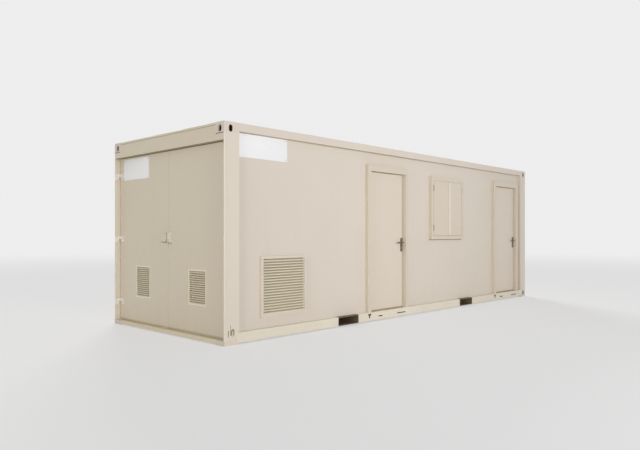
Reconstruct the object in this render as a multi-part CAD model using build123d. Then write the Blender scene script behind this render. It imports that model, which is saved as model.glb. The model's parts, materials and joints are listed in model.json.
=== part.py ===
from build123d import *
import os

# Portable site cabin, a steel-framed box with insulated walls. Millimetres.
# Origin: middle of the footprint on the ground. +X runs along the length to the
# plain rear end, +Y across to the plain long side, +Z up.
# Every piece is set out in stations from the near bottom corner:
#   s along the length from the double doors, w across from the front, z up.

# ---- overall ----
LENGTH = 7315.0
WIDTH = 2438.0
HEIGHT = 2438.0

# ---- corner fittings ----
FIT_L, FIT_W, FIT_H = 178.0, 162.0, 118.0
FIT_WALL = 28.0                    # outer walls of the casting
FIT_WEB = 12.0                     # inner walls of the casting
FIT_ROUND = 6.0
HOLE_TOP = (124.0, 63.5)           # length and breadth of each oval hole
HOLE_SIDE = (79.5, 51.0)
HOLE_END = (79.5, 63.5)
HOLE_LEVEL = 71.0                  # from the casting's outer level to the hole's centre
PAD_H = 56.0                       # low foot under each door-end post

# ---- posts and rails ----
POST_FACE = 205.0                  # breadth of a post on the long side
POST_PLATE = 12.0                  # side plate beside the end doors
POST_ROUND = 9.0
HEM_AT, HEM_W, HEM_DEEP, HEM_FOOT = 36.0, 4.0, 1.5, 40.0
FOOT_HOLE_S, FOOT_HOLE_Z = 115.0, 8.0   # oval at a door-end post's foot, above the rail's top
RAIL_W = 80.0
RAIL_LIFT = 16.0                   # underside of the bottom rails above the ground
RAIL_H = 114.0
TOP_RAIL_H = 93.0
RAIL_ROUND = 8.0
DRIP_W, DRIP_H = 10.0, 6.0         # drip groove under the top rail and header
HEADER_H = 202.0
HEADER_STOP = 30.0                 # how far the header reaches down behind the leaves
LIP_DROP, LIP_H, LIP_DEEP = 27.0, 5.0, 3.0
SILL_LIFT = 10.0

# ---- walls, floor and roof ----
SETBACK = 60.0                     # wall face behind the outer plane
WALL = 60.0
DECK_SINK = 4.0                    # deck underside below the bottom rail's top
DECK_T = 24.0
JOIST_PITCH = 560.0
JOIST_W, JOIST_T, JOIST_LIFT = 60.0, 5.0, 30.0
CEIL_DROP, CEIL_T = 148.0, 20.0
ROOF_DROP, ROOF_T = 43.0, 4.0      # underside of the roof pans below the top
RIB_H, RIB_FOOT, RIB_TOP = 22.0, 150.0, 96.0
RIB_COUNT = 17
BOW_COUNT, BOW_W = 11, 50.0

# ---- fork pockets ----
POCKET_W, POCKET_T = 395.0, 6.0
POCKET_FIRST, POCKET_SPACING = 2040.0, 3020.0
JOIST_CLEAR = 45.0                 # least gap between a joist and a pocket tube

# ---- sockets in the front bottom rail for the loose step at each side door ----
TEE_AT, TEE_W, TEE_H, TEE_LIFT = -10.0, 70.0, 18.0, 21.0
STEM_W, STEM_DROP = 26.0, 18.0
SOCKET_DEEP = 22.0
SOCKETS = ((220.0, 15.0, 90.0, 16.0), (655.0, 13.0, 200.0, 14.0))   # place, drop, length, breadth

# ---- large louvre ----
LOUVRE_AT, LOUVRE_LOW = 545.0, 257.0
LOUVRE_W, LOUVRE_H = 723.0, 700.0
LOUVRE_PROUD = 40.0
LOUVRE_FLANGE, LOUVRE_RIM = 13.0, 30.0
LOUVRE_BLADES = 20
BLADE_DEEP, BLADE_T, BLADE_LIP, BLADE_SET = 36.0, 2.5, 5.0, 8.0
BLADE_COVER = 11.5                 # how much of the pitch the lips and sheet take up

# ---- side doors ----
DOOR_AT = 2455.0                   # left edge of the first door's frame
REAR_STRIP = 317.0                 # from the second door's frame to the rear end
DOOR_W, JAMB = 940.0, 65.0
OVER_DOOR, HEAD_H = 170.0, 85.0
GAP = 6.0                          # running gap round a leaf
CLOSING_GAP = 8.0                  # at a side leaf's lock edge
LEAF_T = 40.0
LEAF_ROUND = 3.0
STOP_W, STOP_T = 20.0, 14.0
DOOR_PIVOT_S, DOOR_PIVOT_W = 11.0, 46.0
DOOR_HINGE = (6.0, 40.0)           # knuckle radius and half height
DOOR_HINGE_INSET = 194.0

# ---- handles ----
PLATE_FROM_LOCK_EDGE = 52.0        # from the leaf's lock edge to the plate's far edge
PLATE_W, PLATE_T, PLATE_LOW, PLATE_H = 40.0, 8.0, 955.0, 200.0
PLATE_ROUND = 10.0
LEVER_LEVEL, LEVER_REACH, LEVER_R = 1089.0, 128.0, 7.5
LEVER_STAND, LEVER_H, LEVER_T = 36.0, 18.0, 11.0
BORE_PLAY = 0.3

# ---- window and shutters ----
WINDOW_AFTER_DOOR = 630.0
WINDOW_W, WINDOW_LOW, WINDOW_DROP = 971.0, 1130.0, 225.0
WINDOW_FLANGE, WINDOW_RIM = 30.0, 60.0
WINDOW_FACE = 8.0                  # front of the window box behind the outer plane
SILL_H, SILL_OVER, SILL_SLOPE, SILL_FACE, SILL_LIP = 55.0, 10.0, 12.0, 1.0, 3.0
GLASS_T, GLASS_BACK = 6.0, 30.0
SHUTTER_T = 24.0
SHUTTER_RIM, SHUTTER_SHEET = 28.0, 6.0
SHUTTER_SEAT = 8.0                 # gap behind a closed shutter
MEETING_GAP = 8.0
MEETING_STRIP, STRIP_T = 70.0, 5.0
SHUTTER_PIVOT_S, SHUTTER_PIVOT_W = 3.0, 5.5
SHUTTER_HINGE = (5.0, 50.0)
SHUTTER_HINGE_INSET, SHUTTER_WEB = 125.0, 12.0
SHUTTER_EDGE = 9.0                 # from the box's reveal to the shutter's edge

# ---- end doors ----
END_RECESS = 75.0
END_LOW = 62.0
END_STOP_GAP = 10.0
END_MEETING = 12.0
END_PIVOT_S, END_PIVOT_W = 35.0, 30.0
END_HINGE = (12.0, 38.0)
END_HINGE_INSET = 240.0
STRAP_LENGTH, STRAP_T = 90.0, 6.0
VENT_INSET, VENT_LOW = 420.0, 390.0
VENT_W, VENT_H, VENT_RIM = 350.0, 410.0, 14.0
VENT_BLADES = 15
VENT_DEEP, VENT_LIP, VENT_SET = 25.0, 4.0, 3.0
LOCK_OFF, LOCK_W, LOCK_DEEP, LOCK_LOW, LOCK_H = 11.0, 58.0, 30.0, 1110.0, 125.0
KEEPER_OFF, KEEPER_W, KEEPER_DEEP, KEEPER_LOW, KEEPER_H = 19.0, 122.0, 22.0, 1120.0, 110.0
LOCK_ROUND = 4.0

# ---- fits ----
CUT = 1.0                          # how far a cutter runs past the face it opens
HINGE_GAP = 0.15                   # half the gap between two knuckles

# ---- worked out from the sizes above ----
EAVES = HEIGHT - TOP_RAIL_H
TOP_FIT = HEIGHT - FIT_H
HEADER_LOW = HEIGHT - HEADER_H
RAIL_TOP = RAIL_LIFT + RAIL_H
DECK_LOW = RAIL_TOP - DECK_SINK
DECK_TOP = DECK_LOW + DECK_T
CEIL_LOW = HEIGHT - CEIL_DROP
ROOF_LOW = HEIGHT - ROOF_DROP
INNER = SETBACK + WALL             # inner face of a long wall
REAR_FACE = LENGTH - SETBACK       # outer face of the rear wall
REAR_INNER = LENGTH - INNER
STOP_S = END_RECESS + LEAF_T + END_STOP_GAP
HEAD_TOP = EAVES - OVER_DOOR
HEAD_LOW = HEAD_TOP - HEAD_H
DOOR_LEFTS = (DOOR_AT, LENGTH - REAR_STRIP - DOOR_W)
WINDOW_AT = DOOR_AT + DOOR_W + WINDOW_AFTER_DOOR
WINDOW_TOP = EAVES - WINDOW_DROP
SILL_TOP = WINDOW_LOW + SILL_H
POCKETS = (POCKET_FIRST, POCKET_FIRST + POCKET_SPACING)
POCKET_HALF = POCKET_W / 2 + POCKET_T


# ---- helpers ----
def block(s0, s1, w0, w1, z0, z1):
    """A square-edged block between two stations on each axis."""
    middle = ((s0 + s1) / 2 - LENGTH / 2, (w0 + w1) / 2 - WIDTH / 2, (z0 + z1) / 2)
    return Pos(*middle) * Box(s1 - s0, w1 - w0, z1 - z0)


def outline(points, rounds=None):
    """A closed outline; rounds maps a corner's number to its radius."""
    face = Polygon(*points, align=None)
    for number, radius in (rounds or {}).items():
        corner = Vector(*points[number])
        nearest = min(face.vertices(), key=lambda v: (v.center() - corner).length)
        face = fillet(nearest, radius)
    return face


def along(points, s0, s1, rounds=None):
    """A (w, z) profile rolled along the length."""
    local = [(w - WIDTH / 2, z) for w, z in points]
    face = Plane.YZ * outline(local, rounds)
    return Pos(s0 - LENGTH / 2, 0, 0) * extrude(face, amount=s1 - s0, dir=(1, 0, 0))


def across(points, w0, w1, rounds=None):
    """An (s, z) profile rolled across the width."""
    local = [(s - LENGTH / 2, z) for s, z in points]
    face = Plane.XZ * outline(local, rounds)
    return Pos(0, w0 - WIDTH / 2, 0) * extrude(face, amount=w1 - w0, dir=(0, 1, 0))


def upright(points, z0, z1, rounds=None):
    """An (s, w) profile rolled upwards."""
    local = [(s - LENGTH / 2, w - WIDTH / 2) for s, w in points]
    return Pos(0, 0, z0) * extrude(outline(local, rounds), amount=z1 - z0, dir=(0, 0, 1))


def spindle(s, z, r, w0, w1):
    """A round bar that runs across."""
    return Pos(s - LENGTH / 2, (w0 + w1) / 2 - WIDTH / 2, z) * Rot(90, 0, 0) * Cylinder(r, w1 - w0)


def oval(size, depth, place, turn):
    """An oval cutter of the given length and breadth, centred on a place."""
    return Pos(*place) * turn * extrude(SlotOverall(*size), amount=depth / 2, both=True)


def oval_side(s, z, size, depth):
    """An upright oval cutter through the front face."""
    return oval(size, depth * 2, (s - LENGTH / 2, -WIDTH / 2, z), Rot(90, 0, 0) * Rot(0, 0, 90))


def back(shape):
    """The same shape on the other long side."""
    return mirror(shape, about=Plane.XZ)


def rear(shape):
    """The same shape at the other end."""
    return mirror(shape, about=Plane.YZ)


def soften(shape, radius, axis, pick):
    """Round the edges parallel to an axis whose middle passes a test."""
    edges = [e for e in shape.edges().filter_by(axis) if pick(e.center())]
    return fillet(edges, radius)


NODES = {}


def keep(name, *shapes):
    """File one node's solids under its name."""
    solids = [solid for shape in shapes for solid in shape.solids()]
    NODES[name] = solids[0] if len(solids) == 1 else Compound(children=solids)


# ---- corner fittings: hollow castings with an oval hole in each outer face ----
def fitting(low, high, hole_level, outer_z, open_z):
    """A casting at the near corner; open_z is the side that its cavity opens on."""
    body = block(0, FIT_L, 0, FIT_W, low, high)
    body = soften(body, FIT_ROUND, Axis.Z, lambda c: c.X < CUT - LENGTH / 2 and c.Y < CUT - WIDTH / 2)
    inner_low = low + FIT_WALL if open_z == high else low - CUT
    inner_high = high + CUT if open_z == high else high - FIT_WALL
    body -= block(FIT_WALL, FIT_L - FIT_WEB, FIT_WALL, FIT_W - FIT_WEB, inner_low, inner_high)
    s, w = FIT_L / 2, FIT_W / 2
    body -= oval_side(s, hole_level, HOLE_SIDE, FIT_WALL + 2)
    body -= oval(HOLE_END, FIT_WALL * 2 + 4, (-LENGTH / 2, w - WIDTH / 2, hole_level), Rot(0, 90, 0))
    body -= oval(HOLE_TOP, FIT_WALL * 2 + 4, (s - LENGTH / 2, w - WIDTH / 2, outer_z), Rot(0, 0, 0))
    return body


def foot():
    """The low foot under a door-end post, with a blind hole for a locating cone."""
    body = block(0, FIT_L, 0, FIT_W, 0, PAD_H)
    place = (FIT_L / 2 - LENGTH / 2, FIT_W / 2 - WIDTH / 2, 0)
    return body - oval(HOLE_TOP, (PAD_H - FIT_WEB) * 2, place, Rot(0, 0, 0))


top = fitting(TOP_FIT, HEIGHT, HEIGHT - HOLE_LEVEL, HEIGHT, TOP_FIT)
keep("top_corner_fittings", top, back(top), rear(top), rear(back(top)))
low = rear(fitting(0, FIT_H, HOLE_LEVEL, 0, FIT_H))
keep("bottom_corner_fittings", foot(), back(foot()), low, back(low))


# ---- posts ----
def door_post():
    """A folded post: a side plate that covers the leaf's edge, and a box behind the leaf."""
    fold = [(0, 0), (POST_FACE, 0), (POST_FACE, INNER),
            (STOP_S, INNER), (STOP_S, POST_PLATE), (0, POST_PLATE)]
    short = [(min(s, FIT_L), w) for s, w in fold]
    body = upright(fold, RAIL_TOP, TOP_FIT, {0: POST_ROUND})
    body += upright(short, PAD_H, RAIL_TOP, {0: POST_ROUND})
    body += block(FIT_L, POST_FACE, 0, POST_PLATE, TOP_FIT, EAVES)
    body -= block(HEM_AT, HEM_AT + HEM_W, -CUT, HEM_DEEP, RAIL_TOP + HEM_FOOT, TOP_FIT - GAP)
    return body - oval_side(FOOT_HOLE_S, RAIL_TOP + FOOT_HOLE_Z, HOLE_SIDE, POST_PLATE)


def rear_post():
    """An angle post: one leg on the long side and one on the rear end."""
    fold = [(0, 0), (POST_FACE, 0), (POST_FACE, SETBACK), (INNER, SETBACK), (INNER, FIT_W), (0, FIT_W)]
    short = [(min(s, FIT_L), w) for s, w in fold]
    body = upright(fold, RAIL_TOP, TOP_FIT, {0: POST_ROUND})
    body += upright(short, FIT_H, RAIL_TOP, {0: POST_ROUND})
    body += block(FIT_L, POST_FACE, 0, SETBACK, TOP_FIT, EAVES)
    return rear(body)


keep("door_end_posts", door_post(), back(door_post()))
keep("rear_end_posts", rear_post(), back(rear_post()))

# ---- side rails ----
top_rail = [(0, EAVES), (0, HEIGHT), (RAIL_W, HEIGHT), (RAIL_W, EAVES),
            (RAIL_W / 2 + DRIP_W, EAVES), (RAIL_W / 2 + DRIP_W, EAVES + DRIP_H),
            (DRIP_W, EAVES + DRIP_H), (DRIP_W, EAVES)]
rail = along(top_rail, FIT_L, LENGTH - FIT_L, {1: RAIL_ROUND})
keep("top_side_rails", rail, back(rail))

low_rail = [(0, RAIL_LIFT), (0, RAIL_TOP), (RAIL_W, RAIL_TOP), (RAIL_W, RAIL_LIFT)]
rail = along(low_rail, FIT_L, LENGTH - FIT_L, {1: RAIL_ROUND / 2})
for middle in POCKETS:
    rail -= block(middle - POCKET_HALF, middle + POCKET_HALF, -CUT, RAIL_W + CUT, 0, RAIL_TOP + CUT)


def step_sockets(left):
    """Cutters for the sockets under one side door: a T slot and two flat slots."""
    level = RAIL_LIFT + RAIL_H / 2
    tee = left + TEE_AT
    stem = tee + (TEE_W - STEM_W) / 2
    cutter = block(tee, tee + TEE_W, -CUT, SOCKET_DEEP, level + TEE_LIFT, level + TEE_LIFT + TEE_H)
    cutter += block(stem, stem + STEM_W, -CUT, SOCKET_DEEP, level - STEM_DROP, level + TEE_LIFT)
    for place, drop, length, breadth in SOCKETS:
        cutter += block(left + place, left + place + length, -CUT, SOCKET_DEEP,
                        level - drop, level - drop + breadth)
    return cutter


keep("bottom_side_rails", rail - [step_sockets(left) for left in DOOR_LEFTS], back(rail))

# ---- door-end header and sill, rear-end rails ----
groove = [(DRIP_W * 2, HEADER_LOW), (DRIP_W * 2, HEADER_LOW + DRIP_H), (DRIP_W, HEADER_LOW + DRIP_H),
          (DRIP_W, HEADER_LOW)]
front = [(0, HEADER_LOW), (0, TOP_FIT), (STOP_S, TOP_FIT), (STOP_S, HEADER_LOW)]
header = across(front + groove, POST_PLATE, WIDTH - POST_PLATE)
header += block(STOP_S, POST_FACE, INNER, WIDTH - INNER, HEADER_LOW - HEADER_STOP, TOP_FIT)
seam = HEIGHT - LIP_DROP
upper = [(0, TOP_FIT), (0, seam - LIP_H), (LIP_DEEP, seam - LIP_H), (LIP_DEEP, seam), (0, seam),
         (0, HEIGHT), (FIT_L, HEIGHT), (FIT_L, TOP_FIT)]
header += across(upper, FIT_W, WIDTH - FIT_W, {5: RAIL_ROUND})
keep("door_end_header", header)

sill = across([(0, SILL_LIFT), (0, PAD_H), (FIT_L, PAD_H), (FIT_L, SILL_LIFT)],
              FIT_W, WIDTH - FIT_W, {1: RAIL_ROUND / 2})
sill += block(STOP_S, POST_FACE, INNER, WIDTH - INNER, PAD_H, DECK_TOP)
keep("door_end_sill", sill)

rail_back = LENGTH - RAIL_W
rear_rail = [(LENGTH, TOP_FIT), (LENGTH, HEIGHT), (rail_back, HEIGHT), (rail_back, TOP_FIT)]
rear_low = [(LENGTH, RAIL_LIFT), (LENGTH, RAIL_TOP), (rail_back, RAIL_TOP), (rail_back, RAIL_LIFT)]
keep("rear_end_rails", across(rear_rail, FIT_W, WIDTH - FIT_W, {1: RAIL_ROUND}),
     across(rear_low, FIT_W, WIDTH - FIT_W, {0: RAIL_ROUND}))

# ---- fork pockets, joists and deck ----
tubes = []
for middle in POCKETS:
    tube = [(middle - POCKET_HALF, RAIL_LIFT), (middle + POCKET_HALF, RAIL_LIFT),
            (middle + POCKET_HALF, DECK_LOW), (middle - POCKET_HALF, DECK_LOW)]
    bore = block(middle - POCKET_W / 2, middle + POCKET_W / 2, -CUT, WIDTH + CUT,
                 RAIL_LIFT + POCKET_T, DECK_LOW - POCKET_T)
    tubes.append(across(tube, 0, WIDTH) - bore)
keep("fork_pocket_tubes", *tubes)


def joist(s):
    """A channel across the floor, open towards the rear."""
    shape = [(s, JOIST_LIFT), (s + JOIST_W, JOIST_LIFT), (s + JOIST_W, JOIST_LIFT + JOIST_T),
             (s + JOIST_T, JOIST_LIFT + JOIST_T), (s + JOIST_T, DECK_LOW - JOIST_T),
             (s + JOIST_W, DECK_LOW - JOIST_T), (s + JOIST_W, DECK_LOW), (s, DECK_LOW)]
    return across(shape, RAIL_W, WIDTH - RAIL_W)


bays = round((LENGTH - POST_FACE - INNER) / JOIST_PITCH)
pitch = (LENGTH - POST_FACE - INNER) / bays
joists = []
for number in range(1, bays):
    s = POST_FACE + number * pitch - JOIST_W / 2
    room = [abs(s + JOIST_W / 2 - middle) - JOIST_W / 2 - POCKET_HALF for middle in POCKETS]
    if min(room) > JOIST_CLEAR:
        joists.append(joist(s))
for middle in POCKETS:
    joists.append(joist(middle - POCKET_HALF - JOIST_CLEAR - JOIST_W))
    joists.append(joist(middle + POCKET_HALF + JOIST_CLEAR))
keep("floor_joists", *joists)
keep("floor_deck", block(POST_FACE, REAR_INNER, INNER, WIDTH - INNER, DECK_LOW, DECK_TOP))

# ---- roof: pressed sheet, bows and ceiling ----
pitch = (LENGTH - FIT_L - RAIL_W) / RIB_COUNT
upper, under = [], []
for number in range(RIB_COUNT):
    middle = FIT_L + (number + 0.5) * pitch
    for half, lift in ((-RIB_FOOT / 2, 0), (-RIB_TOP / 2, RIB_H), (RIB_TOP / 2, RIB_H), (RIB_FOOT / 2, 0)):
        upper.append((middle + half, ROOF_LOW + ROOF_T + lift))
        under.append((middle + half, ROOF_LOW + lift))
upper = [(FIT_L, ROOF_LOW + ROOF_T)] + upper + [(LENGTH - RAIL_W, ROOF_LOW + ROOF_T)]
under = [(FIT_L, ROOF_LOW)] + under + [(LENGTH - RAIL_W, ROOF_LOW)]
sheet = across(upper + under[::-1], RAIL_W, WIDTH - RAIL_W)
corner = block(LENGTH - FIT_L, LENGTH, 0, FIT_W, TOP_FIT, HEIGHT)
keep("roof_sheet", sheet - corner - back(corner))

pitch = (LENGTH - POST_FACE - INNER) / BOW_COUNT
middles = [POST_FACE + (number + 0.5) * pitch for number in range(BOW_COUNT)]
keep("roof_bows", *[block(s - BOW_W / 2, s + BOW_W / 2, INNER, WIDTH - INNER, CEIL_LOW + CEIL_T, ROOF_LOW)
                    for s in middles])
keep("ceiling_panel", block(POST_FACE, REAR_INNER, INNER, WIDTH - INNER, CEIL_LOW, CEIL_LOW + CEIL_T))


# ---- walls ----
def wall(s0, s1, z0, z1):
    """An insulated panel in the front wall."""
    return block(s0, s1, SETBACK, INNER, z0, z1)


def hole(s0, s1, z0, z1, inset):
    """A cutter through the front wall, inside a flange."""
    return block(s0 + inset, s1 - inset, SETBACK - CUT, INNER + CUT, z0 + inset, z1 - inset)


keep("front_wall_left", wall(POST_FACE, DOOR_AT, RAIL_TOP, EAVES)
     - hole(LOUVRE_AT, LOUVRE_AT + LOUVRE_W, LOUVRE_LOW, LOUVRE_LOW + LOUVRE_H, LOUVRE_FLANGE))
keep("front_wall_middle", wall(DOOR_AT + DOOR_W, DOOR_LEFTS[1], RAIL_TOP, EAVES)
     - hole(WINDOW_AT, WINDOW_AT + WINDOW_W, WINDOW_LOW, WINDOW_TOP, WINDOW_FLANGE))
keep("front_wall_infill", wall(DOOR_LEFTS[1] + DOOR_W, REAR_INNER, RAIL_TOP, EAVES) - corner,
     *[wall(left, left + DOOR_W, HEAD_TOP, EAVES) for left in DOOR_LEFTS])
panel = block(POST_FACE, REAR_INNER, WIDTH - INNER, WIDTH - SETBACK, RAIL_TOP, EAVES)
keep("back_wall", panel - back(corner))
keep("rear_end_wall", block(REAR_INNER, REAR_FACE, FIT_W, WIDTH - FIT_W, RAIL_TOP, TOP_FIT))


# ---- large louvre ----
def blade(lead, level, run, rise, thick, lip):
    """A blade's profile, as (depth, height): a slope with a lip bent down in front and up behind."""
    path = [(lead, level - rise / 2 - lip), (lead, level - rise / 2),
            (lead + run, level + rise / 2), (lead + run, level + rise / 2 + lip)]
    return path + [(depth + thick, height) for depth, height in reversed(path)]


louvre_right, louvre_top = LOUVRE_AT + LOUVRE_W, LOUVRE_LOW + LOUVRE_H
louvre_front = SETBACK - LOUVRE_PROUD
louvre = block(LOUVRE_AT, louvre_right, louvre_front, SETBACK, LOUVRE_LOW, louvre_top)
louvre = soften(louvre, LEAF_ROUND, Axis.Z, lambda c: c.Y < louvre_front + CUT - WIDTH / 2)
louvre += block(LOUVRE_AT + LOUVRE_FLANGE, louvre_right - LOUVRE_FLANGE, SETBACK, INNER,
                LOUVRE_LOW + LOUVRE_FLANGE, louvre_top - LOUVRE_FLANGE)
louvre -= block(LOUVRE_AT + LOUVRE_RIM, louvre_right - LOUVRE_RIM, 0, INNER + CUT,
                LOUVRE_LOW + LOUVRE_RIM, louvre_top - LOUVRE_RIM)
keep("side_louvre_frame", louvre)
pitch = (LOUVRE_H - 2 * LOUVRE_RIM) / LOUVRE_BLADES
blades = []
for number in range(LOUVRE_BLADES):
    level = LOUVRE_LOW + LOUVRE_RIM + (number + 0.5) * pitch
    shape = blade(louvre_front + BLADE_SET, level, BLADE_DEEP, pitch - BLADE_COVER, BLADE_T, BLADE_LIP)
    blades.append(along(shape, LOUVRE_AT + LOUVRE_RIM, louvre_right - LOUVRE_RIM))
keep("side_louvre_blades", *blades)

# ---- window: a deep box round the shutters, a sloped sill, and the pane ----
window_right = WINDOW_AT + WINDOW_W
reveal_left, reveal_right = WINDOW_AT + WINDOW_RIM, window_right - WINDOW_RIM
reveal_low, reveal_top = SILL_TOP, WINDOW_TOP - WINDOW_RIM
seat = WINDOW_FACE + SHUTTER_T + SHUTTER_SEAT
frame = block(WINDOW_AT, window_right, WINDOW_FACE, SETBACK, WINDOW_LOW, WINDOW_TOP)
frame += block(WINDOW_AT + WINDOW_FLANGE, window_right - WINDOW_FLANGE, SETBACK, INNER,
               WINDOW_LOW + WINDOW_FLANGE, WINDOW_TOP - WINDOW_FLANGE)
frame -= block(reveal_left, reveal_right, 0, seat, reveal_low, reveal_top)
frame -= block(reveal_left + STOP_W, reveal_right - STOP_W, 0, INNER + CUT,
               reveal_low + STOP_W, reveal_top - STOP_W)
lip = SILL_FACE + SILL_LIP
nose = [(SILL_FACE, WINDOW_LOW + DRIP_H), (SILL_FACE, SILL_TOP - SILL_SLOPE), (WINDOW_FACE, SILL_TOP),
        (WINDOW_FACE, WINDOW_LOW), (lip, WINDOW_LOW), (lip, WINDOW_LOW + DRIP_H)]
frame += along(nose, WINDOW_AT - SILL_OVER, window_right + SILL_OVER)
radius, half = SHUTTER_HINGE
hinge_levels = (SILL_TOP + SHUTTER_HINGE_INSET, reveal_top - SHUTTER_HINGE_INSET)
reach = radius + CUT - SHUTTER_PIVOT_S
for z in hinge_levels:
    for s0, s1 in ((reveal_left - reach, reveal_left + CUT), (reveal_right - CUT, reveal_right + reach)):
        frame -= block(s0, s1, 0, WINDOW_FACE + radius, z - CUT, z + half + CUT)
keep("window_frame", frame)
keep("window_glass", block(reveal_left + STOP_W, reveal_right - STOP_W, INNER - GLASS_BACK - GLASS_T,
                           INNER - GLASS_BACK, reveal_low + STOP_W, reveal_top - STOP_W))


# ---- lift-off hinges: a fixed lower knuckle, and the leaf's knuckle on top of it ----
def knuckle(s, w, radius, z0, z1, reach, turn, lean=0):
    """A knuckle on a web as broad as itself, which runs out at an angle; lean picks one half of the web."""
    web = Pos(reach / 2, lean * radius / 2) * Rectangle(reach, radius * (2 - abs(lean)))
    body = extrude(Circle(radius) + web, amount=z1 - z0)
    return Pos(s - LENGTH / 2, w - WIDTH / 2, z0) * Rot(0, 0, turn) * body


lugs = []

# ---- shutters: folded trays, the right one with the strip that covers the joint ----
shutter_low, shutter_top = reveal_low + GAP, reveal_top - GAP
shutter_mid = WINDOW_AT + WINDOW_W / 2
shutter_back = WINDOW_FACE + SHUTTER_T


def tray(s0, s1):
    """A sheet with its rim folded back."""
    body = block(s0, s1, WINDOW_FACE, shutter_back, shutter_low, shutter_top)
    return body - block(s0 + SHUTTER_RIM, s1 - SHUTTER_RIM, WINDOW_FACE + SHUTTER_SHEET, shutter_back + CUT,
                        shutter_low + SHUTTER_RIM, shutter_top - SHUTTER_RIM)


def shutter(leaf, reveal, turn):
    """A tray with its knuckles at the reveal beside it; turn is 1 on the left and -1 on the right."""
    s = reveal + turn * SHUTTER_PIVOT_S
    jamb = block(*sorted((reveal, reveal - turn * WINDOW_RIM)), WINDOW_FACE, SETBACK, WINDOW_LOW, WINDOW_TOP)
    radius, half = SHUTTER_HINGE
    for z in hinge_levels:
        lug = knuckle(s, SHUTTER_PIVOT_W, radius, z - half, z - HINGE_GAP, SHUTTER_WEB, 90, turn)
        lugs.append(lug - jamb)
        leaf += knuckle(s, SHUTTER_PIVOT_W, radius, z + HINGE_GAP, z + half, SHUTTER_WEB,
                        90 - 90 * turn, turn)
    return leaf


keep("shutter_left", shutter(tray(reveal_left + SHUTTER_EDGE, shutter_mid - MEETING_GAP / 2), reveal_left, 1))
cover = block(shutter_mid + MEETING_GAP, shutter_mid + MEETING_GAP + MEETING_STRIP,
              WINDOW_FACE - STRIP_T, WINDOW_FACE, shutter_low + GAP, shutter_top - GAP)
tray_right = tray(shutter_mid + MEETING_GAP / 2, reveal_right - SHUTTER_EDGE) + cover
keep("shutter_right", shutter(tray_right, reveal_right, -1))


# ---- side doors ----
def door_frame(left):
    """Jambs and head with a rebate for the leaf, over a low threshold."""
    right = left + DOOR_W
    body = block(left, right, 0, INNER, RAIL_TOP, HEAD_TOP)
    body = soften(body, LEAF_ROUND, Axis.Z, lambda c: c.Y < CUT - WIDTH / 2)
    body -= block(left + JAMB, right - JAMB, -CUT, INNER - STOP_T, RAIL_TOP - CUT, HEAD_LOW)
    body -= block(left + JAMB + STOP_W, right - JAMB - STOP_W, 0, INNER + CUT, DECK_TOP, HEAD_LOW - STOP_W)
    return body


def door_lever(s):
    """A round neck with a flat, round-ended blade that runs back towards the hinges."""
    front = SETBACK - PLATE_T - LEVER_STAND
    neck = spindle(s, LEVER_LEVEL, LEVER_R, front + LEVER_T / 2, SETBACK - HINGE_GAP)
    length = LEVER_REACH + LEVER_H / 2
    flat = extrude(SlotOverall(length, LEVER_H), amount=LEVER_T / 2, both=True)
    middle = s + (LEVER_H - length) / 2 - LENGTH / 2
    return neck + Pos(middle, front + LEVER_T / 2 - WIDTH / 2, LEVER_LEVEL) * Rot(90, 0, 0) * flat


for number, left in enumerate(DOOR_LEFTS, 1):
    right = left + DOOR_W
    keep(f"door_frame_{number}", door_frame(left))

    leaf_left, leaf_right = left + JAMB + GAP, right - JAMB - CLOSING_GAP
    leaf = block(leaf_left, leaf_right, SETBACK, SETBACK + LEAF_T, RAIL_TOP + GAP, HEAD_LOW - GAP)
    leaf = soften(leaf, LEAF_ROUND, Axis.Z, lambda c: c.Y < SETBACK + CUT - WIDTH / 2)
    keep(f"side_door_{number}", leaf)

    s = left + JAMB + DOOR_PIVOT_S
    lowest, highest = RAIL_TOP + GAP + DOOR_HINGE_INSET, HEAD_LOW - GAP - DOOR_HINGE_INSET
    radius, half = DOOR_HINGE
    moving = []
    for z in (lowest, (lowest + highest) / 2, highest):
        lugs.append(knuckle(s, DOOR_PIVOT_W, radius, z - half, z - HINGE_GAP, DOOR_PIVOT_S, 180))
        moving.append(knuckle(s, DOOR_PIVOT_W, radius, z + HINGE_GAP, z + half, SETBACK - DOOR_PIVOT_W, 90))
    keep(f"side_door_{number}_hinges", *moving)

    s = leaf_right - PLATE_FROM_LOCK_EDGE + PLATE_W / 2
    plate = block(s - PLATE_W / 2, s + PLATE_W / 2, SETBACK - PLATE_T, SETBACK,
                  PLATE_LOW, PLATE_LOW + PLATE_H)
    plate = soften(plate, PLATE_ROUND, Axis.Y, lambda c: True)
    plate -= spindle(s, LEVER_LEVEL, LEVER_R + BORE_PLAY, SETBACK - PLATE_T - CUT, SETBACK + CUT)
    keep(f"handle_plate_{number}", plate)
    keep(f"lever_{number}", door_lever(s))

# ---- double doors at the end ----
end_top = HEADER_LOW - GAP
end_front, end_back = END_RECESS, END_RECESS + LEAF_T
near_edge = POST_PLATE + GAP
vent_w0, vent_w1 = near_edge + VENT_INSET, near_edge + VENT_INSET + VENT_W
vent_z1 = VENT_LOW + VENT_H
leaf = block(end_front, end_back, near_edge, WIDTH / 2 - END_MEETING / 2, END_LOW, end_top)
leaf = soften(leaf, LEAF_ROUND, Axis.Z, lambda c: c.X < end_front + CUT - LENGTH / 2)
leaf -= block(end_front - CUT, end_back + CUT, vent_w0, vent_w1, VENT_LOW, vent_z1)
keep("end_door_right", leaf)
keep("end_door_left", back(leaf))

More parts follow.
